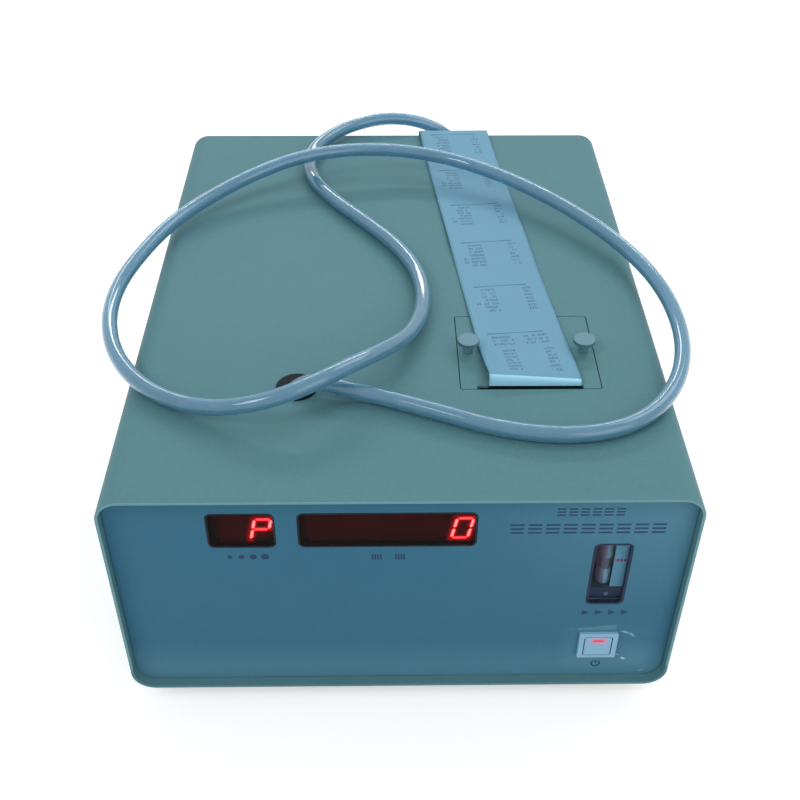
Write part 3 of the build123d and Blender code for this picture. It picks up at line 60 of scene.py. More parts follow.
def addCamera(s):
    pitch, yaw, roll = (radians(s[k]) for k in ("pitch", "yaw", "roll"))
    forward = Vector((sin(yaw) * cos(pitch), cos(yaw) * cos(pitch), -sin(pitch)))
    right = Vector((cos(yaw), -sin(yaw), 0))
    up = right.cross(forward)
    rolledRight = cos(roll) * right + sin(roll) * up
    rolledUp = -sin(roll) * right + cos(roll) * up
    turn = Matrix((rolledRight, rolledUp, -forward)).transposed()
    data = bpy.data.cameras.new("camera")
    data.lens = s["lens"]
    data.sensor_width = s["sensor"]
    camera = bpy.data.objects.new("camera", data)
    camera.matrix_world = Matrix.Translation(s["place"]) @ turn.to_4x4()
    bpy.context.scene.collection.objects.link(camera)
    bpy.context.scene.camera = camera


addCamera(cameraSettings)


# shader sums
class Wire:
    # a shader socket that takes part in Python sums
    def __init__(self, tree, socket):
        self.tree, self.socket = tree, socket

    def maths(self, operation, *others, clamp=False):
        made = self.tree.nodes.new("ShaderNodeMath")
        made.operation = operation
        made.use_clamp = clamp
        for inlet, value in zip(made.inputs, (self,) + others):
            join(self.tree, inlet, value)
        return Wire(self.tree, made.outputs[0])

    def __add__(self, other):
        return self.maths("ADD", other)

    def __sub__(self, other):
        return self.maths("SUBTRACT", other)

    def __rsub__(self, other):
        return (self * -1.0) + other

    def __mul__(self, other):
        return self.maths("MULTIPLY", other)

    def __truediv__(self, other):
        return self.maths("DIVIDE", other)

    def __gt__(self, other):
        return self.maths("GREATER_THAN", other)

    def __lt__(self, other):
        return self.maths("LESS_THAN", other)

    __radd__ = __add__
    __rmul__ = __mul__

    def between(self, low, high):
        return (self > low) * (self < high)

    def wrap(self, step):
        return self.maths("FLOORED_MODULO", step)

    def floor(self):
        return self.maths("FLOOR")

    def size(self):
        return self.maths("ABSOLUTE")

    def power(self, exponent):
        return self.maths("POWER", exponent)

    def least(self, other):
        return self.maths("MINIMUM", other)

    def most(self, other):
        return self.maths("MAXIMUM", other)

    def clamp(self):
        return self.maths("ADD", 0.0, clamp=True)


def hypotenuse(across, up):
    return (across * across + up * up).power(0.5)


def strokeDistance(across, up, stroke):
    # distance in the plane from a straight stroke that runs square to the axes
    x0, z0, x1, z1 = stroke
    sideways = ((across - (x0 + x1) / 2).size() - abs(x1 - x0) / 2).most(0.0)
    upright = ((up - (z0 + z1) / 2).size() - abs(z1 - z0) / 2).most(0.0)
    return hypotenuse(sideways, upright)


def plateEdge(across, up, s):
    # how far inside a rounded plate a point is, below 0 outside it
    sideways = (across - s["x"]).size() - (s["width"] / 2 - s["corner"])
    upright = (up - s["z"]).size() - (s["height"] / 2 - s["corner"])
    outer = hypotenuse(sideways.most(0.0), upright.most(0.0))
    return s["corner"] - outer - sideways.most(upright).least(0.0)


def join(tree, inlet, value):
    if isinstance(value, Wire):
        tree.links.new(value.socket, inlet)
    elif hasattr(value, "__len__") and len(value) == 3 and inlet.type == "RGBA":
        inlet.default_value = (*value, 1.0)
    else:
        inlet.default_value = value


def linear(red, green, blue):
    # a colour written in 0-255 display values, as the shader needs it
    return tuple((c / 255 / 12.92) if c <= 10 else (((c / 255) + 0.055) / 1.055) ** 2.4
                 for c in (red, green, blue))


class Maker:
    # makes any node of its tree
    def node(self, kind, settings=None, values=None, output=0):
        made = self.tree.nodes.new(kind)
        for key, value in (settings or {}).items():
            if key == "stops":
                for stop, (place, colour) in zip(made.color_ramp.elements, value):
                    stop.position, stop.color = place, (*colour, 1.0)
            else:
                setattr(made, key, value)
        for key, value in (values or {}).items():
            join(self.tree, made.inputs[key], value)
        return Wire(self.tree, made.outputs[output])

    def outputs(self, wire):
        return [Wire(self.tree, socket) for socket in wire.socket.node.outputs]


class Finish(Maker):
    # one material
    def __init__(self, name, **values):
        self.material = bpy.data.materials.new(name)
        self.material.use_nodes = True
        self.tree = self.material.node_tree
        self.shader = self.tree.nodes["Principled BSDF"]
        for key, value in values.items():
            self.set(key.replace("_", " "), value)

    def set(self, socket, value):
        join(self.tree, self.shader.inputs[socket], value)

    def place(self):
        return self.node("ShaderNodeTexCoord", output="Object")

    def axes(self, vector):
        return self.outputs(self.node("ShaderNodeSeparateXYZ", values={0: vector}))

    def millimetres(self):
        return [axis * 1000.0 for axis in self.axes(self.place())]

    def noise(self, scale, detail=2.0, vector=None, roughness=0.5):
        return self.node("ShaderNodeTexNoise", values={
            "Vector": vector or self.place(), "Scale": scale, "Detail": detail, "Roughness": roughness})

    def blend(self, factor, first, second):
        # mixes two colours by a mask
        return self.node("ShaderNodeMix", {"data_type": "RGBA"}, {0: factor, 6: first, 7: second}, output=2)

    def bump(self, height, depth, strength=1.0):
        self.set("Normal", self.node("ShaderNodeBump", values={
            "Height": height, "Distance": depth, "Strength": strength}))

    def over(self, mask, **values):
        # a second surface where the mask is 1
        surface = self.tree.nodes["Material Output"].inputs["Surface"]
        first = Wire(self.tree, surface.links[0].from_socket)
        second = self.node("ShaderNodeBsdfPrincipled", values={
            key.replace("_", " "): value for key, value in values.items()})
        join(self.tree, surface, self.node("ShaderNodeMixShader", values={0: mask, 1: first, 2: second}))


class Pattern(Maker):
    # a geometry tree with named sizes, used once and made a plain mesh
    def __init__(self, name, **sizes):
        self.tree = bpy.data.node_groups.new(name, "GeometryNodeTree")
        self.tree.interface.new_socket("Geometry", in_out="OUTPUT", socket_type="NodeSocketGeometry")
        self.sizes = sizes
        for key, value in sizes.items():
            kind = {int: "NodeSocketInt", float: "NodeSocketFloat", tuple: "NodeSocketVector"}[type(value)]
            self.tree.interface.new_socket(key, in_out="INPUT", socket_type=kind)
        self.inlet = self.tree.nodes.new("NodeGroupInput")

    def size(self, key):
        return Wire(self.tree, self.inlet.outputs[key])

    def vector(self, x, y, z):
        return self.node("ShaderNodeCombineXYZ", values={0: x, 1: y, 2: z})

    def finished(self, instances, finish):
        solid = self.node("GeometryNodeRealizeInstances", values={0: instances})
        painted = self.node("GeometryNodeSetMaterial", values={"Geometry": solid, "Material": finish.material})
        outlet = self.tree.nodes.new("NodeGroupOutput")
        join(self.tree, outlet.inputs[0], painted)
        blank = newObject(self.tree.name + "Blank", [], [])
        modifier = blank.modifiers.new("pattern", "NODES")
        modifier.node_group = self.tree
        for item in self.tree.interface.items_tree:
            if item.in_out == "INPUT":
                modifier[item.identifier] = self.sizes[item.name]
        bpy.context.view_layer.update()
        mesh = bpy.data.meshes.new_from_object(blank.evaluated_get(bpy.context.evaluated_depsgraph_get()))
        blank.modifiers.remove(modifier)
        bpy.data.objects.remove(blank)
        made = bpy.data.objects.new(self.tree.name, mesh)
        bpy.context.scene.collection.objects.link(made)
        return made


def dress(finish, *nodes):
    for name in nodes:
        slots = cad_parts[name].data.materials
        slots.clear()
        slots.append(finish.material)


# sampling tube
tubeSettings = {
    "diameter": 8.0 * mm,
    "bore": 5.5 * mm,
    "elevation": 52.0,  # of the way out of the grommet, in degrees
    "turn": 22.0,
    "exit": (-49.1, -92.9, 140.75),
    "inside": 8.0,  # of the tube below the exit point, in millimetres
    "outside": 9.0,
    "aroundSides": 28,
    "stepsPerSpan": 14,
    # the route's points after the exit, in millimetres, as the solid has them
    "route": [
        (-27.5, -100.5, 146.0), (-10, -104.5, 144.4), (14, -114, 144.2), (46, -128.5, 144.2),
        (80, -133.5, 144.2), (110, -125, 144.4), (131, -101, 145.3), (141, -71, 146.3),
        (142, -39, 147.4), (136, -8, 148.6), (123, 21, 149.8), (105, 48, 151.2),
        (84, 72, 152.5), (61, 93, 153.4), (34, 110, 154.6), (4, 117, 156.6),
        (-27, 115, 158.4), (-58, 106.5, 157.8), (-86, 91.5, 153.6), (-110, 71.5, 149.6),
        (-129, 46, 147.2), (-141, 17, 145.7), (-148.5, -13, 144.8), (-147.8, -44, 144.4),
        (-138, -75, 144.4), (-119, -100, 144.6), (-93, -115, 146.0), (-66, -121.5, 153.5),
        (-43, -117.5, 160.2), (-22, -100.5, 160.2), (-5, -79, 153.5), (7, -57, 146.5),
        (14, -31, 144.2), (12.5, -1, 144.2), (1, 27, 144.2), (-17, 53, 144.2),
        (-37, 79, 144.2), (-52, 107, 144.2), (-54, 138, 144.8), (-37, 164, 146.7),
        (-12, 177.5, 147.9), (5.0, 180.5, 147.0), (20, 182, 142.9), (34, 183.5, 135.3),
        (46.5, 186, 121.5), (54.5, 189, 103), (60, 193, 78), (65, 199, 48),
        (74, 210, 20), (93, 226, 5.0), (119, 237, 4.2), (146, 241, 4.2),
    ],
}


def newObject(name, vertices, faces, smooth=False):
    mesh = bpy.data.meshes.new(name)
    mesh.from_pydata(vertices, [], faces)
    mesh.validate()
    for face in mesh.polygons:
        face.use_smooth = smooth
    made = bpy.data.objects.new(name, mesh)
    bpy.context.scene.collection.objects.link(made)
    return made


def smoothLine(name, points, steps):
    # points along a NURBS spline that has these control points
    data = bpy.data.curves.new(name, "CURVE")
    data.dimensions = "3D"
    spline = data.splines.new("NURBS")
    spline.points.add(len(points) - 1)
    for spot, place in zip(spline.points, points):
        spot.co = (*place, 1.0)
    spline.order_u = 3
    spline.use_endpoint_u = True
    spline.resolution_u = steps
    line = bpy.data.objects.new(name, data)
    bpy.context.scene.collection.objects.link(line)
    bpy.context.view_layer.update()
    mesh = bpy.data.meshes.new_from_object(line.evaluated_get(bpy.context.evaluated_depsgraph_get()))
    places = [v.co.copy() for v in mesh.vertices]
    bpy.data.objects.remove(line)
    return places


def pipeRings(path, radius, sides, across):
    # rings of points square to the path, carried along without twist
    rings = []
    for i, here in enumerate(path):
        ahead = path[min(i + 1, len(path) - 1)] - path[max(i - 1, 0)]
        ahead.normalize()
        across = (across - ahead * across.dot(ahead)).normalized()
        other = ahead.cross(across)
        rings.append([here + radius * (cos(2 * pi * k / sides) * across + sin(2 * pi * k / sides) * other)
                      for k in range(sides)])
    return rings


def hollowPipe(name, path, outer, inner, sides):
    count = len(path)
    vertices, faces = [], []
    for radius in (outer, inner):
        for ring in pipeRings(path, radius, sides, Vector((0, 0, 1))):
            vertices += ring
    for i in range(count - 1):
        for k in range(sides):
            a, b = i * sides + k, i * sides + (k + 1) % sides
            c, d = b + sides, a + sides
            faces.append((a, b, c, d))
            inside = count * sides
            faces.append((inside + a, inside + d, inside + c, inside + b))
    last = (count - 1) * sides
    for k in range(sides):
        a, b = k, (k + 1) % sides
        faces.append((a, count * sides + a, count * sides + b, b))
        faces.append((last + a, last + b, count * sides + last + b, count * sides + last + a))
    return newObject(name, vertices, faces, smooth=True)


def makeSamplingTube(s):
    lean, turn = radians(s["elevation"]), radians(s["turn"])
    out = Vector((cos(lean) * cos(turn), -cos(lean) * sin(turn), sin(lean)))
    exitPoint = Vector(s["exit"])
    points = [exitPoint - out * s["inside"], exitPoint + out * s["outside"]]
    points += [Vector(p) for p in s["route"]]
    path = smoothLine("tubeLine", [p * mm for p in points], s["stepsPerSpan"])
    tube = hollowPipe("samplingTube", path, s["diameter"] / 2, s["bore"] / 2, s["aroundSides"])
    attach(tube, "case")
    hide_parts("sampling_tube")
    return tube


samplingTube = makeSamplingTube(tubeSettings)


# finishes
paintSettings = {
    "case": (82, 126, 133),
    "caseLight": (90, 134, 143),
    "caseGrain": (97, 141, 150),
    "paintedRimHighlight": (118, 162, 172),  # the cut front edge of the cover, painted lighter: a painted highlight where it catches the light
    "panel": (44, 100, 127),
    "panelLight": (54, 110, 137),
    "panelGrain": (60, 117, 142),
    "rimDepth": 0.2,
    "recess": 5.0,  # of the panel behind that edge
    "rimHeight": 116.0,
}


def casePaint(s):
    made = Finish("casePaint", Specular_IOR_Level=0.08)
    x, y, z = made.millimetres()
    cloud = made.noise(11.0, 3.0)
    patch = made.noise(70.0, 2.0, roughness=0.6)
    grain = made.noise(1500.0, 2.0)
    spot = made.noise(380.0, 2.0, roughness=0.6)
    base = made.blend(0.55 * cloud + 0.45 * patch, linear(*s["case"]), linear(*s["caseLight"]))
    paint = made.blend((grain - 0.5) * 1.2 + (spot - 0.5) * 0.8 + 0.35, base, linear(*s["caseGrain"]))
    # painted highlight: the cover's cut front edge is painted lighter where it catches the light
    frontRim = (y < panelFace / mm - s["recess"] + s["rimDepth"]) * (z > topZ / mm - s["rimHeight"])
    made.set("Base Color", made.blend(frontRim * (0.75 + 0.25 * spot), paint, linear(*s["paintedRimHighlight"])))
    made.set("Roughness", 0.42 + 0.16 * spot)
    made.bump(grain + spot * 1.5, 0.00008, 0.6)
    return made


def panelPaint(s, film):
    made = Finish("panelPaint", Specular_IOR_Level=0.1)
    x, y, z = made.millimetres()
    cloud = made.noise(12.0, 3.0)
    patch = made.noise(60.0, 2.0, roughness=0.6)
    grain = made.noise(900.0, 2.0)
    base = made.blend(0.5 * cloud + 0.5 * patch, linear(*s["panel"]), linear(*s["panelLight"]))
    paint = made.blend(grain * 0.8, base, linear(*s["panelGrain"]))
    # a clear film round the switch, with painted sheen over it: a stronger painted sheen on a strip, a painted
    # highlight along the strip's top edge, and painted glints on the creases beside it
    rise = (x - film["stripLeft"]) / (film["stripRight"] - film["stripLeft"])
    stripTop = film["stripLow"] + rise * film["stripRise"]
    strip = (z > film["stripFoot"]) * (z < stripTop) * rise.between(0.0, 1.0)
    edge = ((z - stripTop).size() < film["edgeWidth"]) * rise.between(-film["edgeOverhang"], 1.0)
    glints = None
    for cx, cz, length, width, angle, strength in film["glints"]:
        lean = radians(angle)
        along = (x - cx) * cos(lean) + (z - cz) * sin(lean)
        aside = (z - cz) * cos(lean) - (x - cx) * sin(lean)
        paintedLight = (1 - hypotenuse(along / length, aside / width)).clamp() * strength
        glints = paintedLight if glints is None else glints.most(paintedLight)
    filmArea = (1 - strokeDistance(x, z, film["patch"]) / film["fade"]).clamp()
    # painted reflection: the panel is paler towards its foot and its upper right corner
    foot = (1 - (z - film["footLow"]) / film["footHeight"]).clamp()
    cornerX, cornerZ, cornerWidth, cornerHeight = film["corner"]
    corner = ((x - cornerX) / cornerWidth).clamp() * ((z - cornerZ) / cornerHeight).clamp()
    sheen = 0.12 * filmArea * patch + 0.3 * strip + 0.12 * edge
    sheen = (sheen + 0.3 * foot + 0.08 * foot * filmArea + 0.28 * corner + 0.04).clamp()
    lit = made.blend(sheen, paint, linear(*film["sheen"]))
    made.set("Base Color", made.blend((glints * 1.3).clamp(), lit, linear(*film["glint"])))
    made.set("Roughness", 0.45 + 0.1 * cloud - 0.12 * filmArea)
    made.bump(grain + filmArea * made.noise(110.0, 1.0) * 6.0, 0.00004, 0.5)
    return made


filmSettings = {
    "stripLeft": 86.0, "stripRight": 104.6, "stripFoot": 46.2,
    "stripLow": 48.0, "stripRise": 2.4, "edgeWidth": 0.35, "edgeOverhang": 0.28,
    "sheen": (118, 168, 184), "glint": (190, 228, 240),
    "footLow": 14.0, "footHeight": 26.0,
    "corner": (20.0, 60.0, 100.0, 60.0),  # where it starts in x and z, and how far it takes
    "patch": (84.0, 24.0, 118.0, 46.0), "fade": 7.0,
    # middle, half length, half width, slope and strength of each crease's glint
    "glints": [
        (110.6, 24.5, 1.9, 0.8, -28.0, 1.0), (109.4, 44.9, 3.2, 1.0, -24.0, 0.42),
        (112.8, 43.0, 2.6, 0.8, -48.0, 0.42), (107.4, 27.8, 1.6, 0.5, -42.0, 0.35),
        (121.0, 15.0, 2.2, 0.5, 38.0, 0.3),
    ],
}


def blackRubber(name):
    made = Finish(name, Specular_IOR_Level=0.12)
    grain = made.noise(700.0, 3.0)
    made.set("Base Color", made.blend(grain, linear(6, 16, 24), linear(12, 24, 32)))
    made.set("Roughness", 0.42 + 0.2 * grain)
    made.bump(grain, 0.00008, 0.5)
    return made


def turnedMetal(name, colour, roughness=0.25, scale=900.0, metallic=1.0):
    made = Finish(name, Metallic=metallic)
    x, y, z = made.axes(made.place())
    drawn = made.node("ShaderNodeCombineXYZ", values={0: x * 0.15, 1: y * 0.15, 2: z})
    streak = made.noise(scale, 2.0, vector=drawn)
    made.set("Base Color", made.blend(streak, colour, tuple(c * 0.8 for c in colour)))
    made.set("Roughness", roughness - 0.05 + 0.14 * streak)
    made.bump(streak, 0.00003, 0.5)
    return made


def knurledNickel(s):
    # dull plated head on a bright neck
    made = Finish("knurledNickel")
    x, y, z = made.millimetres()
    brushed = made.noise(500.0, 2.0)
    head = z > topZ / mm + s["headBottom"]
    made.set("Metallic", 0.85 - 0.7 * head)
    colour = made.blend(head, linear(*s["neckColour"]), linear(*s["headColour"]))
    made.set("Base Color", made.blend(0.3 * brushed, colour, linear(*s["worn"])))
    made.set("Roughness", 0.12 + 0.36 * head + 0.1 * brushed)
    made.bump(brushed, 0.00003, 0.5)
    return made


thumbSettings = {
    "headBottom": 5.55,  # over the cover
    "headColour": (92, 132, 150), "neckColour": (176, 204, 214), "worn": (98, 130, 142),
}


def clearTubing(s):
    made = Finish("clearTubing", IOR=1.4, Specular_IOR_Level=0.2)
    made.set("Transmission Weight", s["clearness"])
    made.set("Coat Weight", 0.75)
    made.set("Coat Roughness", 0.04)
    haze = made.noise(160.0, 2.0)
    made.set("Base Color", made.blend(haze, linear(*s["colour"]), linear(*s["haze"])))
    made.set("Roughness", 0.06 + 0.1 * haze)
    made.bump(made.noise(s["ripple"], 1.0), 0.0003, 0.3)
    return made


def tintedAcrylic(name, plate, s):
    made = Finish(name, IOR=1.14)
    made.set("Transmission Weight", 1.0)
    made.set("Base Color", made.blend(made.noise(90.0, 2.0), linear(*s["tint"]), linear(*s["tintDeep"])))
    made.set("Roughness", 0.02 + 0.05 * made.noise(60.0, 2.0))
    x, y, z = made.millimetres()
    inset = plateEdge(x, z, plate)
    made.over(inset < s["edge"], Base_Color=linear(*s["edgeColour"]), Roughness=0.4, Specular_IOR_Level=0.2)
    return made


displayWindow = {"z": 117.4, "height": 21.5, "corner": 3.0}
sizeWindow = {"x": -70.95, "width": 30.3, **displayWindow}
countWindow = {"x": -5.95, "width": 79.7, **displayWindow}
flowWindow = {"x": 96.3, "z": 86.7, "width": 17.8, "height": 41.6, "corner": 3.0}
acrylicSettings = {
    "tint": (205, 72, 80), "tintDeep": (192, 58, 70),
    "edge": 0.75, "edgeColour": (14, 22, 42),
}
flowAcrylicSettings = {
    "tint": (222, 236, 240), "tintDeep": (212, 228, 236),
    "edge": 1.1, "edgeColour": (18, 40, 72),
}


def mouldedPlastic(name, colour, roughness=0.45, grainScale=1100.0, depth=0.00004):
    made = Finish(name, Specular_IOR_Level=0.3)
    grain = made.noise(grainScale, 2.0)
    cloud = made.noise(30.0, 2.0)
    made.set("Base Color", made.blend(cloud, colour, tuple(c * 0.88 for c in colour)))
    made.set("Roughness", roughness - 0.05 + 0.12 * grain)
    made.bump(grain, depth, 0.5)
    return made


# the digit that is lit behind each window: its middle and the strokes, in millimetres
digitSettings = {
    "slant": 11.0, "z": 115.7, "halfWidth": 3.65, "halfHeight": 6.15,
    "letterX": -62.275, "noughtX": 27.525, "between": -20.0,
    "face": (46, 26, 40), "faceLight": (56, 29, 42), "glow": 3.2,
    "coreReach": 0.7,
}
leftSide, topSide = -digitSettings["halfWidth"], digitSettings["halfHeight"]
letterStrokes = [(leftSide, -topSide, leftSide, topSide), (-leftSide, 0.0, -leftSide, topSide),
                 (leftSide, topSide, -leftSide, topSide), (leftSide, 0.0, -leftSide, 0.0)]
noughtStrokes = [(leftSide, -topSide, leftSide, topSide), (-leftSide, -topSide, -leftSide, topSide),
                 (leftSide, topSide, -leftSide, topSide), (leftSide, -topSide, -leftSide, -topSide)]


def displayFace(name, s, middle, strokes):
    made = Finish(name, Roughness=0.5, Specular_IOR_Level=0.2)
    x, y, z = made.millimetres()
    up = z - s["z"]
    across = x - middle - up * tan(radians(s["slant"]))
    nearest = None
    for stroke in strokes:
        away = strokeDistance(across, up, stroke)
        nearest = away if nearest is None else nearest.least(away)
    glow = (1 - nearest / s["glow"]).clamp()
    made.set("Base Color", made.blend(made.noise(60.0, 2.0), linear(*s["face"]), linear(*s["faceLight"])))
    made.set("Emission Color", made.blend(glow * glow, (0.0, 0.0, 0.0), (1.0, 0.006, 0.06)))
    made.set("Emission Strength", 1.0)
    return made


def litRed(s):
    made = Finish("litRed", Base_Color=linear(200, 30, 40), Roughness=0.4)
    x, y, z = made.millimetres()
    up = z - s["z"]
    middle = s["letterX"] + (x > s["between"]) * (s["noughtX"] - s["letterX"])
    across = x - middle - up * tan(radians(s["slant"]))
    fromSide = (across.size() - s["halfWidth"]).size()
    fromBar = up.size().least((up.size() - s["halfHeight"]).size())
    upright = (1.2 - fromSide / s["coreReach"]).clamp()
    bar = (1.2 - fromBar / s["coreReach"]).clamp() * 0.3
    core = upright.most(bar) * (0.8 + 0.2 * made.noise(500.0, 1.0))
    made.set("Emission Color", made.blend(core, linear(225, 20, 50), (1.0, 1.0, 0.75)))
    made.set("Emission Strength", 9.0)
    return made


def lampRed():
    made = Finish("lampRed", Base_Color=linear(190, 30, 70), Roughness=0.35)
    made.set("Emission Color", made.blend(made.noise(600.0), linear(170, 22, 72), linear(190, 34, 86)))
    made.set("Emission Strength", 0.75)
    return made


def switchWhite(name, s, glow):
    made = Finish(name, Specular_IOR_Level=0.35)
    x, y, z = made.millimetres()
    grain = made.noise(1100.0, 2.0)
    cloud = made.noise(120.0, 2.0)
    base = made.blend(cloud, linear(*s["plastic"]), linear(*s["plasticDeep"]))
    # painted light: the cap is painted pink close to the lamp, where the lamp's glow falls on it
    paintedLight = (1 - strokeDistance(x, z, s["lamp"]) / s["reach"]).clamp() * glow
    made.set("Base Color", made.blend(paintedLight, base, linear(236, 132, 176)))
    made.set("Roughness", 0.34 + 0.12 * grain)
    made.bump(grain, 0.00004, 0.4)
    return made


switchSettings = {
    "plastic": (142, 188, 216), "plasticDeep": (134, 180, 208),
    "lamp": (94.2, 40.3, 98.8, 41.2), "reach": 2.4,
}


def unlitSegment():
    made = Finish("unlitSegment", Roughness=0.5, Specular_IOR_Level=0.2)
    made.set("Base Color", made.blend(made.noise(500.0), linear(72, 32, 40), linear(64, 28, 36)))
    return made


def boardGreen():
    made = Finish("boardGreen", Roughness=0.35)
    x, y, z = made.millimetres()
    lanes = (x.wrap(2.5) < 0.5) * (made.noise(120.0, 0.0) > 0.5)
    made.set("Base Color", made.blend(lanes, linear(18, 84, 50), linear(36, 120, 70)))
    return made


# heights and places in millimetres
meterSettings = {
    "blockTop": 75.1, "lip": (66.4, 67.3),
    "maroonWithPaintedLight": ((160, 108, 160), (190, 96, 134)),
    "block": ((10, 38, 60), (22, 46, 76)), "lipColour": (110, 146, 166),
    "glass": ((214, 232, 240), (190, 214, 228)),
    "hazeBelow": 84.6, "hazeAbove": 92.0, "haze": (150, 190, 212),
    "maroonLeft": 95.2, "maroon": (112, 72, 108),
}


def meterBody(s):
    # dark moulding, maroon where it shows next to the tube, and painted paler there than its own maroon:
    # painted light against the shade inside the window
    made = Finish("meterBody", Specular_IOR_Level=0.1)
    x, y, z = made.millimetres()
    block = z < s["blockTop"]
    stain = made.noise(210.0, 2.0)
    maroonWithPaintedLight = made.blend(stain, *(linear(*colour) for colour in s["maroonWithPaintedLight"]))
    low = made.blend(made.noise(90.0, 2.0), *(linear(*colour) for colour in s["block"]))
    lip = z.between(*s["lip"])
    made.set("Base Color", made.blend(block, maroonWithPaintedLight, made.blend(lip * 0.8, low, linear(*s["lipColour"]))))
    made.set("Roughness", 0.4 + 0.15 * stain)
    return made


def meterGlass(s):
    # clear above, hazed below the float's stop
    made = Finish("meterGlass", IOR=1.3, Specular_IOR_Level=0.4)
    made.set("Transmission Weight", 0.9)
    x, y, z = made.millimetres()
    haze = made.noise(130.0, 2.0)
    made.set("Base Color", made.blend(haze, *(linear(*colour) for colour in s["glass"])))
    made.set("Roughness", 0.06 + 0.08 * haze)
    hazed = (z < s["hazeBelow"]) * 0.8 + (z > s["hazeAbove"]) * 0.4
    made.over(hazed, Base_Color=linear(*s["haze"]), Roughness=0.3)
    made.over((x < s["maroonLeft"]) * 0.75, Base_Color=linear(*s["maroon"]), Roughness=0.3)
    return made


dress(casePaint(paintSettings), "upper_cover", "base_tray", "printer_hatch", "rear_panel")
dress(panelPaint(paintSettings, filmSettings), "front_panel")
dress(blackRubber("footRubber"), "rubber_feet")
dress(blackRubber("grommetRubber"), "tube_grommet")
dress(turnedMetal("zincScrew", (0.42, 0.46, 0.48), 0.3), "case_screws", "foot_screws")
dress(knurledNickel(thumbSettings), "thumb_screw_left", "thumb_screw_right")
dress(turnedMetal("turnedBrass", (0.72, 0.52, 0.24), 0.28),
      "inlet_spigot", "laser_module", "motor_pinion", "display_standoffs", "board_standoffs", "inlet_pins",
      "exhaust_spigot", "switch_terminals")
dress(turnedMetal("meterScrew", linear(120, 140, 156), 0.4, metallic=0.4), "flowmeter_adjuster")
dress(turnedMetal("milledAlloy", (0.74, 0.75, 0.76), 0.35), "optical_sensor", "sensor_stand", "print_head")
dress(turnedMetal("platedCan", (0.56, 0.57, 0.58), 0.3), "pump_motor", "printer_motor")
dress(turnedMetal("laminations", (0.16, 0.16, 0.17), 0.5, 2600.0), "transformer_core")
dress(tintedAcrylic("sizeAcrylic", sizeWindow, acrylicSettings), "size_window")
dress(tintedAcrylic("countAcrylic", countWindow, acrylicSettings), "count_window")
dress(tintedAcrylic("flowAcrylic", flowWindow, flowAcrylicSettings), "flow_window")
dress(meterGlass(meterSettings), "flowmeter_tube")
dress(displayFace("letterFace", digitSettings, digitSettings["letterX"], letterStrokes), "size_display")
dress(displayFace("noughtFace", digitSettings, digitSettings["noughtX"], noughtStrokes), "count_display")
dress(litRed(digitSettings), "lit_segments")
dress(lampRed(), "switch_lamp")
dress(unlitSegment(), "unlit_segments")
dress(boardGreen(), "display_board", "main_board")
dress(meterBody(meterSettings), "flowmeter_body")
dress(mouldedPlastic("floatDark", linear(44, 18, 56), 0.25), "flowmeter_float")
dress(mouldedPlastic("scalePale", linear(104, 160, 184), 0.5), "flowmeter_scale")
dress(switchWhite("switchFrame", switchSettings, 0.0), "switch_body")
dress(switchWhite("switchCap", switchSettings, 1.0), "switch_button")
dress(mouldedPlastic("chassisGrey", linear(52, 84, 92), 0.6), "printer_chassis")
dress(mouldedPlastic("blackMoulding", linear(28, 28, 30), 0.5), "platen_roller", "air_pump",
      "photodetector", "board_components", "mains_inlet", "fuse_drawer")
dress(mouldedPlastic("acetal", linear(226, 222, 208), 0.4), "platen_gear", "roll_spindle", "air_filter")
dress(mouldedPlastic("coilTape", linear(206, 170, 60), 0.4), "transformer_coil")
dress(mouldedPlastic("siliconeHose", linear(200, 206, 206), 0.35),
      "hose_sensor_to_pump", "hose_pump_to_filter", "hose_filter_to_meter", "hose_meter_to_exhaust")
dress(mouldedPlastic("rollPaper", linear(150, 190, 206), 0.7), "paper_roll")
tubingSettings = {"clearness": 0.6, "colour": (118, 176, 204), "haze": (132, 188, 214), "ripple": 30.0}
samplingTube.data.materials.append(clearTubing(tubingSettings).material)
print("finishes made")


# printed strip
stripSettings = {
    "width": 44.4,
    "centreX": 65.4,
    "slotY": -92.3,
    "skew": 5.8,  # degrees to the left of straight back
    "thickness": 0.12,
    "rows": 24,
    # distance along the strip and height over the cover, in millimetres
    "profile": [
        (0.0, -12.0), (0.0, 1.0), (0.3, 3.8), (1.5, 4.9), (5.0, 4.8), (14.0, 3.7), (28.0, 1.5),
        (44.0, 0.45), (80.0, 0.35), (104.0, 0.5), (128.0, 1.6), (150.0, 0.9), (176.0, 0.35),
        (215.0, 0.35), (238.0, 1.1), (256.0, 2.9), (263.0, 3.4), (266.6, 1.8), (267.4, -6.0),
        (267.6, -70.0),
    ],
    "straight": 1.0,  # it leaves the slot straight, and then turns to its skew
    "turnLength": 12.0,
    "foldTilt": 2.4,  # the front fold's left end is this much higher and its right end lower
    "foldReach": 34.0,
    "foldRise": 6.0,
    "curl": 0.5,  # both edges lift by this, in waves
    "curlWave": 23.0,
    "curlReach": 60.0,
    "tailReach": 30.0,  # the skew fades out over this before the end
}


def smoothProfile(points, steps):
    line = smoothLine("profileLine", [Vector((a, 0, b)) for a, b in points], steps)
    return [(p.x, p.z) for p in line]


def within(value):
    return min(1.0, max(0.0, value))


mapScale = 100.0  # millimetres of paper to one unit of its map


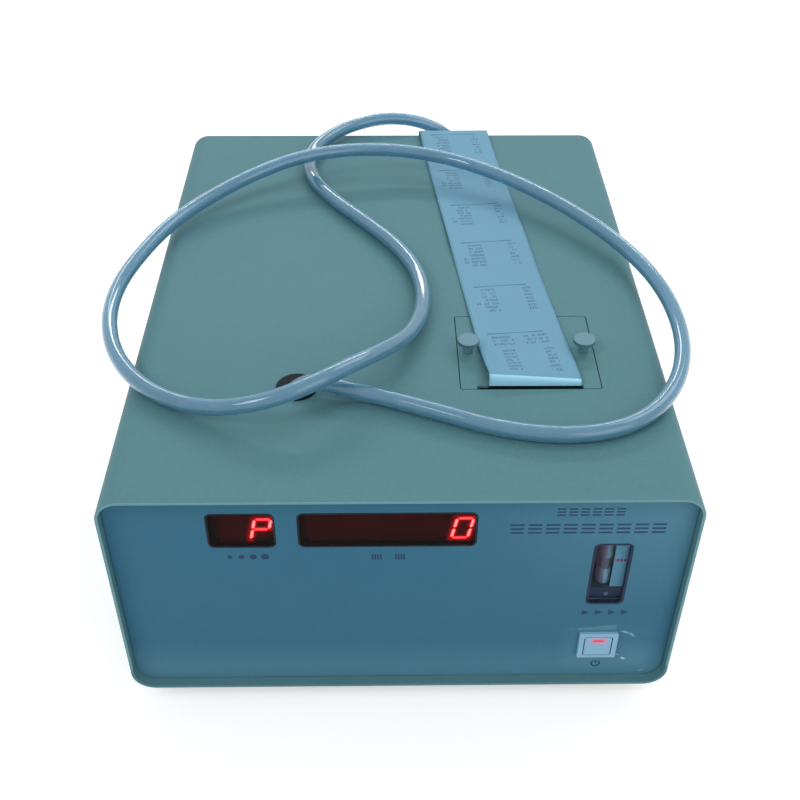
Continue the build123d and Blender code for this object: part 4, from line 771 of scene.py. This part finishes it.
def makeStrip(s):
    skew = radians(s["skew"])
    profile = smoothProfile(s["profile"], 10)
    vertices, coords = [], []
    run = 0.0
    before = profile[0]
    last = s["profile"][-1][0]
    for along, height in profile:
        run += sqrt((along - before[0]) ** 2 + (height - before[1]) ** 2)
        before = (along, height)
        turned = within((along - s["straight"]) / s["turnLength"])
        for k in range(s["rows"] + 1):
            share = k / s["rows"] - 0.5
            side = share * s["width"]
            fold = max(0.0, 1.0 - along / s["foldReach"]) * within(height / s["foldRise"])
            lift = -2 * s["foldTilt"] * share * fold
            wave = min(1.0, along / s["curlReach"]) * (1.0 + sin(along / s["curlWave"])) * (height > -1.0)
            curl = s["curl"] * (4 * share * share) * wave
            ending = min(1.0, (last - along) / s["tailReach"])
            x = s["centreX"] + side * cos(skew * turned) - along * sin(skew)
            y = s["slotY"] + along * cos(skew) + side * sin(skew) * turned * ending
            vertices.append(Vector((x, y, topZ / mm + height + lift + curl)) * mm)
            coords.append((side + s["width"] / 2, run))
    wide = s["rows"] + 1
    faces = [(i * wide + k, i * wide + k + 1, (i + 1) * wide + k + 1, (i + 1) * wide + k)
             for i in range(len(profile) - 1) for k in range(s["rows"])]
    strip = newObject("printedStrip", vertices, faces, smooth=True)
    layer = strip.data.uv_layers.new(name="paper")
    for loop in strip.data.loops:
        layer.data[loop.index].uv = [c / mapScale for c in coords[loop.vertex_index]]
    thick = strip.modifiers.new("thickness", "SOLIDIFY")
    thick.thickness = s["thickness"] * mm
    thick.offset = 1.0
    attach(strip, "case")
    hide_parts("paper_strip")
    return strip


printedStrip = makeStrip(stripSettings)

printSettings = {
    "record": 43.2,  # from one record's rule to the next, in millimetres
    "firstRule": 58.8,  # along the strip from its hidden start
    "firstLine": 2.2,  # behind the rule
    "rulePart": (6.2, 35.0),
    "ruleWidth": 1.2,
    "ruleSag": 0.003,
    "linePitch": 3.2,
    "lineFoot": 0.18,  # share of a line that is bare below the ink
    "lineHeight": 0.62,  # share of a line that is inked
    "markPitch": 1.35,
    "markPart": (0.1, 1.15),
    "dotPitch": 0.33,
    "bareDots": 0.36,
    "bareMarks": 0.12,
    # across from and to, and the lines from and to, counted from the rule
    "columns": [(9.6, 17.4, 0.0, 7.0), (32.0, 36.9, 0.0, 7.0), (5.6, 8.2, 4.0, 5.9)],
    # the last record is longer and fuller
    "lastColumns": [(7.6, 18.8, 0.0, 3.0), (24.4, 30.4, 0.0, 3.0), (31.5, 36.2, 0.0, 3.0),
                    (11.0, 17.8, 4.0, 11.0), (31.8, 36.9, 4.0, 11.0)],
    "paper": (105, 156, 182), "paperLight": (113, 164, 188), "front": (174, 234, 255),
    "ink": (58, 84, 130), "ruleInk": (54, 108, 132),
    "slotShade": (10, 24, 34), "shadeTo": 12.2, "frontTo": 17.2,
}


def printedPaper(s):
    made = Finish("printedPaper", Roughness=0.6, Specular_IOR_Level=0.2)
    paperMap = made.node("ShaderNodeUVMap", {"uv_map": "paper"})
    across, along = (axis * mapScale for axis in made.axes(paperMap)[:2])
    local = (s["firstRule"] - along).wrap(s["record"])
    line = (local - s["firstLine"]) / s["linePitch"]
    last = along < s["firstRule"]
    dots = made.node("ShaderNodeCombineXYZ", values={
        0: (across / s["dotPitch"]).floor(), 1: (along / s["dotPitch"]).floor(), 2: 0.0})
    chance = made.node("ShaderNodeTexWhiteNoise", {"noise_dimensions": "3D"}, {"Vector": dots})
    words = made.node("ShaderNodeCombineXYZ", values={
        0: (across / s["markPitch"]).floor(), 1: line.floor(), 2: (along / s["record"]).floor()})
    space = made.node("ShaderNodeTexWhiteNoise", {"noise_dimensions": "3D"}, {"Vector": words})
    onLine = line.wrap(1.0).between(s["lineFoot"], s["lineFoot"] + s["lineHeight"])
    onMark = across.wrap(s["markPitch"]).between(*s["markPart"])

    def block(columns):
        total = None
        for left, right, first, final in columns:
            part = across.between(left, right) * line.between(first, final)
            total = part if total is None else total.most(part)
        return total

    blocks = block(s["columns"]) * (1 - last) + block(s["lastColumns"]) * last
    shown = along > s["frontTo"] + 1.0
    marks = blocks * onLine * onMark * (chance > s["bareDots"]) * (space > s["bareMarks"]) * shown
    sag = (across - s["rulePart"][0]) * (s["rulePart"][1] - across) * s["ruleSag"]
    rule = (local + sag).between(0.0, s["ruleWidth"]) * across.between(*s["rulePart"])
    fade = made.noise(60.0, 2.0)
    fibre = made.noise(420.0, 3.0)
    cloud = made.noise(24.0, 2.0)
    # painted light: the strip's first fold, out of the slot, is painted much paler as if brightly lit
    front = along.between(0.0, s["frontTo"])
    sheet = made.blend(0.6 * cloud + 0.4 * fibre, linear(*s["paper"]), linear(*s["paperLight"]))
    sheet = made.blend(front * 0.95, sheet, linear(*s["front"]))
    sheet = made.blend(along < s["shadeTo"], sheet, linear(*s["slotShade"]))
    inked = made.blend(marks * (0.45 + 0.5 * fade), sheet, linear(*s["ink"]))
    made.set("Base Color", made.blend(rule * (0.6 + 0.35 * fade) * (1 - front), inked, linear(*s["ruleInk"])))
    made.bump(fibre, 0.00003, 0.4)
    return made


printedStrip.data.materials.append(printedPaper(printSettings).material)
print("strip made")


# marks printed on the panel: plain dots, bars and triangles
def printedInk(name, colour, worn):
    made = Finish(name, Roughness=0.55, Specular_IOR_Level=0.2)
    wear = made.noise(420.0, 3.0)
    made.set("Base Color", made.blend(wear * 0.9, linear(*colour), linear(*worn)))
    return made


markSettings = {
    "ink": (24, 48, 88), "worn": (44, 78, 116), "depth": 0.05,
    # name, sides of each mark, count, first place (x, z), pitch, width, height, growth from mark to mark
    "rows": [
        ("sizeMarks", 20, 4, (-77.2, 100.6), 5.3, 2.2, 2.2, 0.22),
        ("countMarksLeft", 4, 4, (-12.8, 100.0), 1.25, 0.72, 3.6, 0.0),
        ("countMarksRight", 4, 4, (-2.2, 100.0), 1.25, 0.72, 3.6, 0.0),
        ("flowMarks", 3, 4, (87.6, 60.0), 6.3, 4.8, 4.0, 0.0),
        ("titleBarsHigh", 4, 6, (70.4, 129.9), 5.2, 3.8, 0.8, 0.0),
        ("titleBarsMiddle", 4, 6, (70.4, 128.0), 5.2, 3.8, 0.8, 0.0),
        ("titleBarsLow", 4, 6, (70.4, 126.1), 5.2, 3.8, 0.8, 0.0),
        ("nameBarsHigh", 4, 9, (51.6, 120.0), 7.9, 6.1, 1.0, 0.0),
        ("nameBarsMiddle", 4, 9, (51.6, 117.5), 7.9, 6.1, 1.0, 0.0),
        ("nameBarsLow", 4, 9, (51.6, 115.0), 7.9, 6.1, 1.0, 0.0),
    ],
}
panelInk = printedInk("panelInk", markSettings["ink"], markSettings["worn"])


def markRow(row, depth, face, finish):
    name, sides, count, (x, z), pitch, width, height, growth = row
    tree = Pattern(name, Count=count, Pitch=pitch * mm, Width=width * mm, Height=height * mm,
                   Depth=depth * mm, Growth=growth, Start=(x * mm, face - depth * mm / 2, z * mm))
    points = tree.node("GeometryNodeMeshLine", {"mode": "OFFSET"}, {
        "Count": tree.size("Count"), "Start Location": tree.size("Start"),
        "Offset": tree.vector(tree.size("Pitch"), 0.0, 0.0)})
    # a bar is a disc of four sides, turned and widened to a square of side 1
    disc = tree.node("GeometryNodeMeshCylinder", values={
        "Vertices": sides, "Radius": 0.5 if sides != 4 else 0.7071, "Depth": 1.0})
    turn = pi / 4 if sides == 4 else 0.0
    mark = tree.node("GeometryNodeTransform", values={"Geometry": disc, "Rotation": (0.0, 0.0, turn)})
    upright = tree.node("GeometryNodeTransform", values={"Geometry": mark, "Rotation": (pi / 2, 0.0, 0.0)})
    swell = tree.size("Growth") * tree.node("GeometryNodeInputIndex") + 1.0
    size = tree.vector(tree.size("Width") * swell, tree.size("Depth"), tree.size("Height") * swell)
    placed = tree.node("GeometryNodeInstanceOnPoints", values={
        "Points": points, "Instance": upright, "Scale": size})
    return tree.finished(placed, finish)


for row in markSettings["rows"]:
    marks = markRow(row, markSettings["depth"], panelFace, panelInk)
    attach(marks, "case")


def powerMark(s, finish):
    # broken ring and bar, from bent strips
    vertices, faces = [], []
    count = s["steps"]
    for i in range(count + 1):
        angle = radians(90 + s["gap"] + (360 - 2 * s["gap"]) * i / count)
        for radius in (s["radius"] - s["stroke"] / 2, s["radius"] + s["stroke"] / 2):
            vertices.append(Vector((s["x"] + radius * cos(angle), 0, s["z"] + radius * sin(angle))) * mm)
    faces += [(2 * i, 2 * i + 1, 2 * i + 3, 2 * i + 2) for i in range(count)]
    base = len(vertices)
    for dx, dz in ((-0.5, 0.15), (0.5, 0.15), (0.5, 1.15), (-0.5, 1.15)):
        vertices.append(Vector((s["x"] + dx * s["stroke"], 0, s["z"] + dz * s["radius"])) * mm)
    faces.append(tuple(range(base, base + 4)))
    for v in vertices:
        v.y = panelFace - s["depth"] * mm
    made = newObject("powerMark", vertices, faces)
    thick = made.modifiers.new("thickness", "SOLIDIFY")
    thick.thickness = s["depth"] * mm
    thick.offset = -1.0
    made.data.materials.append(finish.material)
    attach(made, "case")


powerSettings = {
    "x": 97.4, "z": 20.8, "radius": 2.0, "stroke": 0.75,
    "gap": 38,  # degrees open on each side of the top
    "steps": 28, "depth": 0.05,
}
powerMark(powerSettings, panelInk)

scaleInk = printedInk("scaleInk", (44, 96, 118), (60, 116, 136))
scaleRed = printedInk("scaleRed", (150, 44, 84), (160, 70, 110))
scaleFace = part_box("flowmeter_scale")[0].y
scaleSettings = {
    "depth": 0.04,
    "rows": [
        ("scaleLines", 4, 7, (99.2, 78.5), 4.4, 1.4, 0.28, 0.0, scaleInk),
        ("scaleMark", 4, 3, (99.9, 93.2), 1.7, 1.2, 2.0, 0.0, scaleRed),
    ],
}
for *row, finish in scaleSettings["rows"]:
    marks = markRow(row, scaleSettings["depth"], scaleFace, finish)
    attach(marks, "case")
print("marks made")


# room
roomSettings = {
    "floorSize": 30.0,
    "floorColour": (0.80, 0.80, 0.80),
    "floorShown": 0.48,  # brightness added where the camera sees the floor itself
    "sky": 0.62,
    "aim": (0.0, 0.0, 0.1),
    "lamps": {
        "keyLamp": {"place": (-0.9, -0.7, 1.3), "size": 0.4, "height": 0.4, "power": 4.2},
        "backLamp": {"place": (0.0, 1.4, 1.1), "size": 1.3, "height": 0.16, "power": 5.6},
        "sideLamp": {"place": (0.9, 0.5, 1.3), "size": 0.8, "height": 0.8, "power": 4.4},
        "fillLamp": {"place": (1.0, -1.3, 0.9), "size": 1.2, "height": 1.2, "power": 5.6},
    },
}


def addLamp(name, s, aim):
    data = bpy.data.lights.new(name, "AREA")
    data.shape = "RECTANGLE"
    data.size = s["size"]
    data.size_y = s["height"]
    data.energy = s["power"]
    lamp = bpy.data.objects.new(name, data)
    place = Vector(s["place"])
    turn = (aim - place).to_track_quat("-Z", "Y")
    lamp.matrix_world = Matrix.Translation(place) @ turn.to_matrix().to_4x4()
    bpy.context.scene.collection.objects.link(lamp)


def seenDirectly(maker):
    # 1 where the camera sees the room itself, in a reflection or through something clear
    rays = {wire.socket.name: wire for wire in maker.outputs(maker.node("ShaderNodeLightPath"))}
    return (rays["Is Camera Ray"] + rays["Is Glossy Ray"] + rays["Is Transmission Ray"]).clamp()


def makeRoom(s):
    half = s["floorSize"] / 2
    corners = [(-half, -half, 0), (half, -half, 0), (half, half, 0), (-half, half, 0)]
    floor = newObject("floor", corners, [(0, 1, 2, 3)])
    made = Finish("floorFinish", Roughness=0.9, Specular_IOR_Level=0.0)
    pale = s["floorColour"]
    made.set("Base Color", made.blend(made.noise(3.0), pale, tuple(c * 0.99 for c in pale)))
    made.set("Emission Color", (1.0, 1.0, 1.0))
    made.set("Emission Strength", seenDirectly(made) * s["floorShown"])
    floor.data.materials.append(made.material)
    world = bpy.data.worlds.new("room")
    world.use_nodes = True
    air = Maker()
    air.tree = world.node_tree
    back = air.tree.nodes["Background"]
    back.inputs["Color"].default_value = (1.0, 1.0, 1.0, 1.0)
    join(air.tree, back.inputs["Strength"], seenDirectly(air) * (1.0 - s["sky"]) + s["sky"])
    bpy.context.scene.world = world
    for name, lamp in s["lamps"].items():
        addLamp(name, lamp, Vector(s["aim"]))


makeRoom(roomSettings)
bpy.context.scene.view_settings.view_transform = "Standard"
print("scene ready")
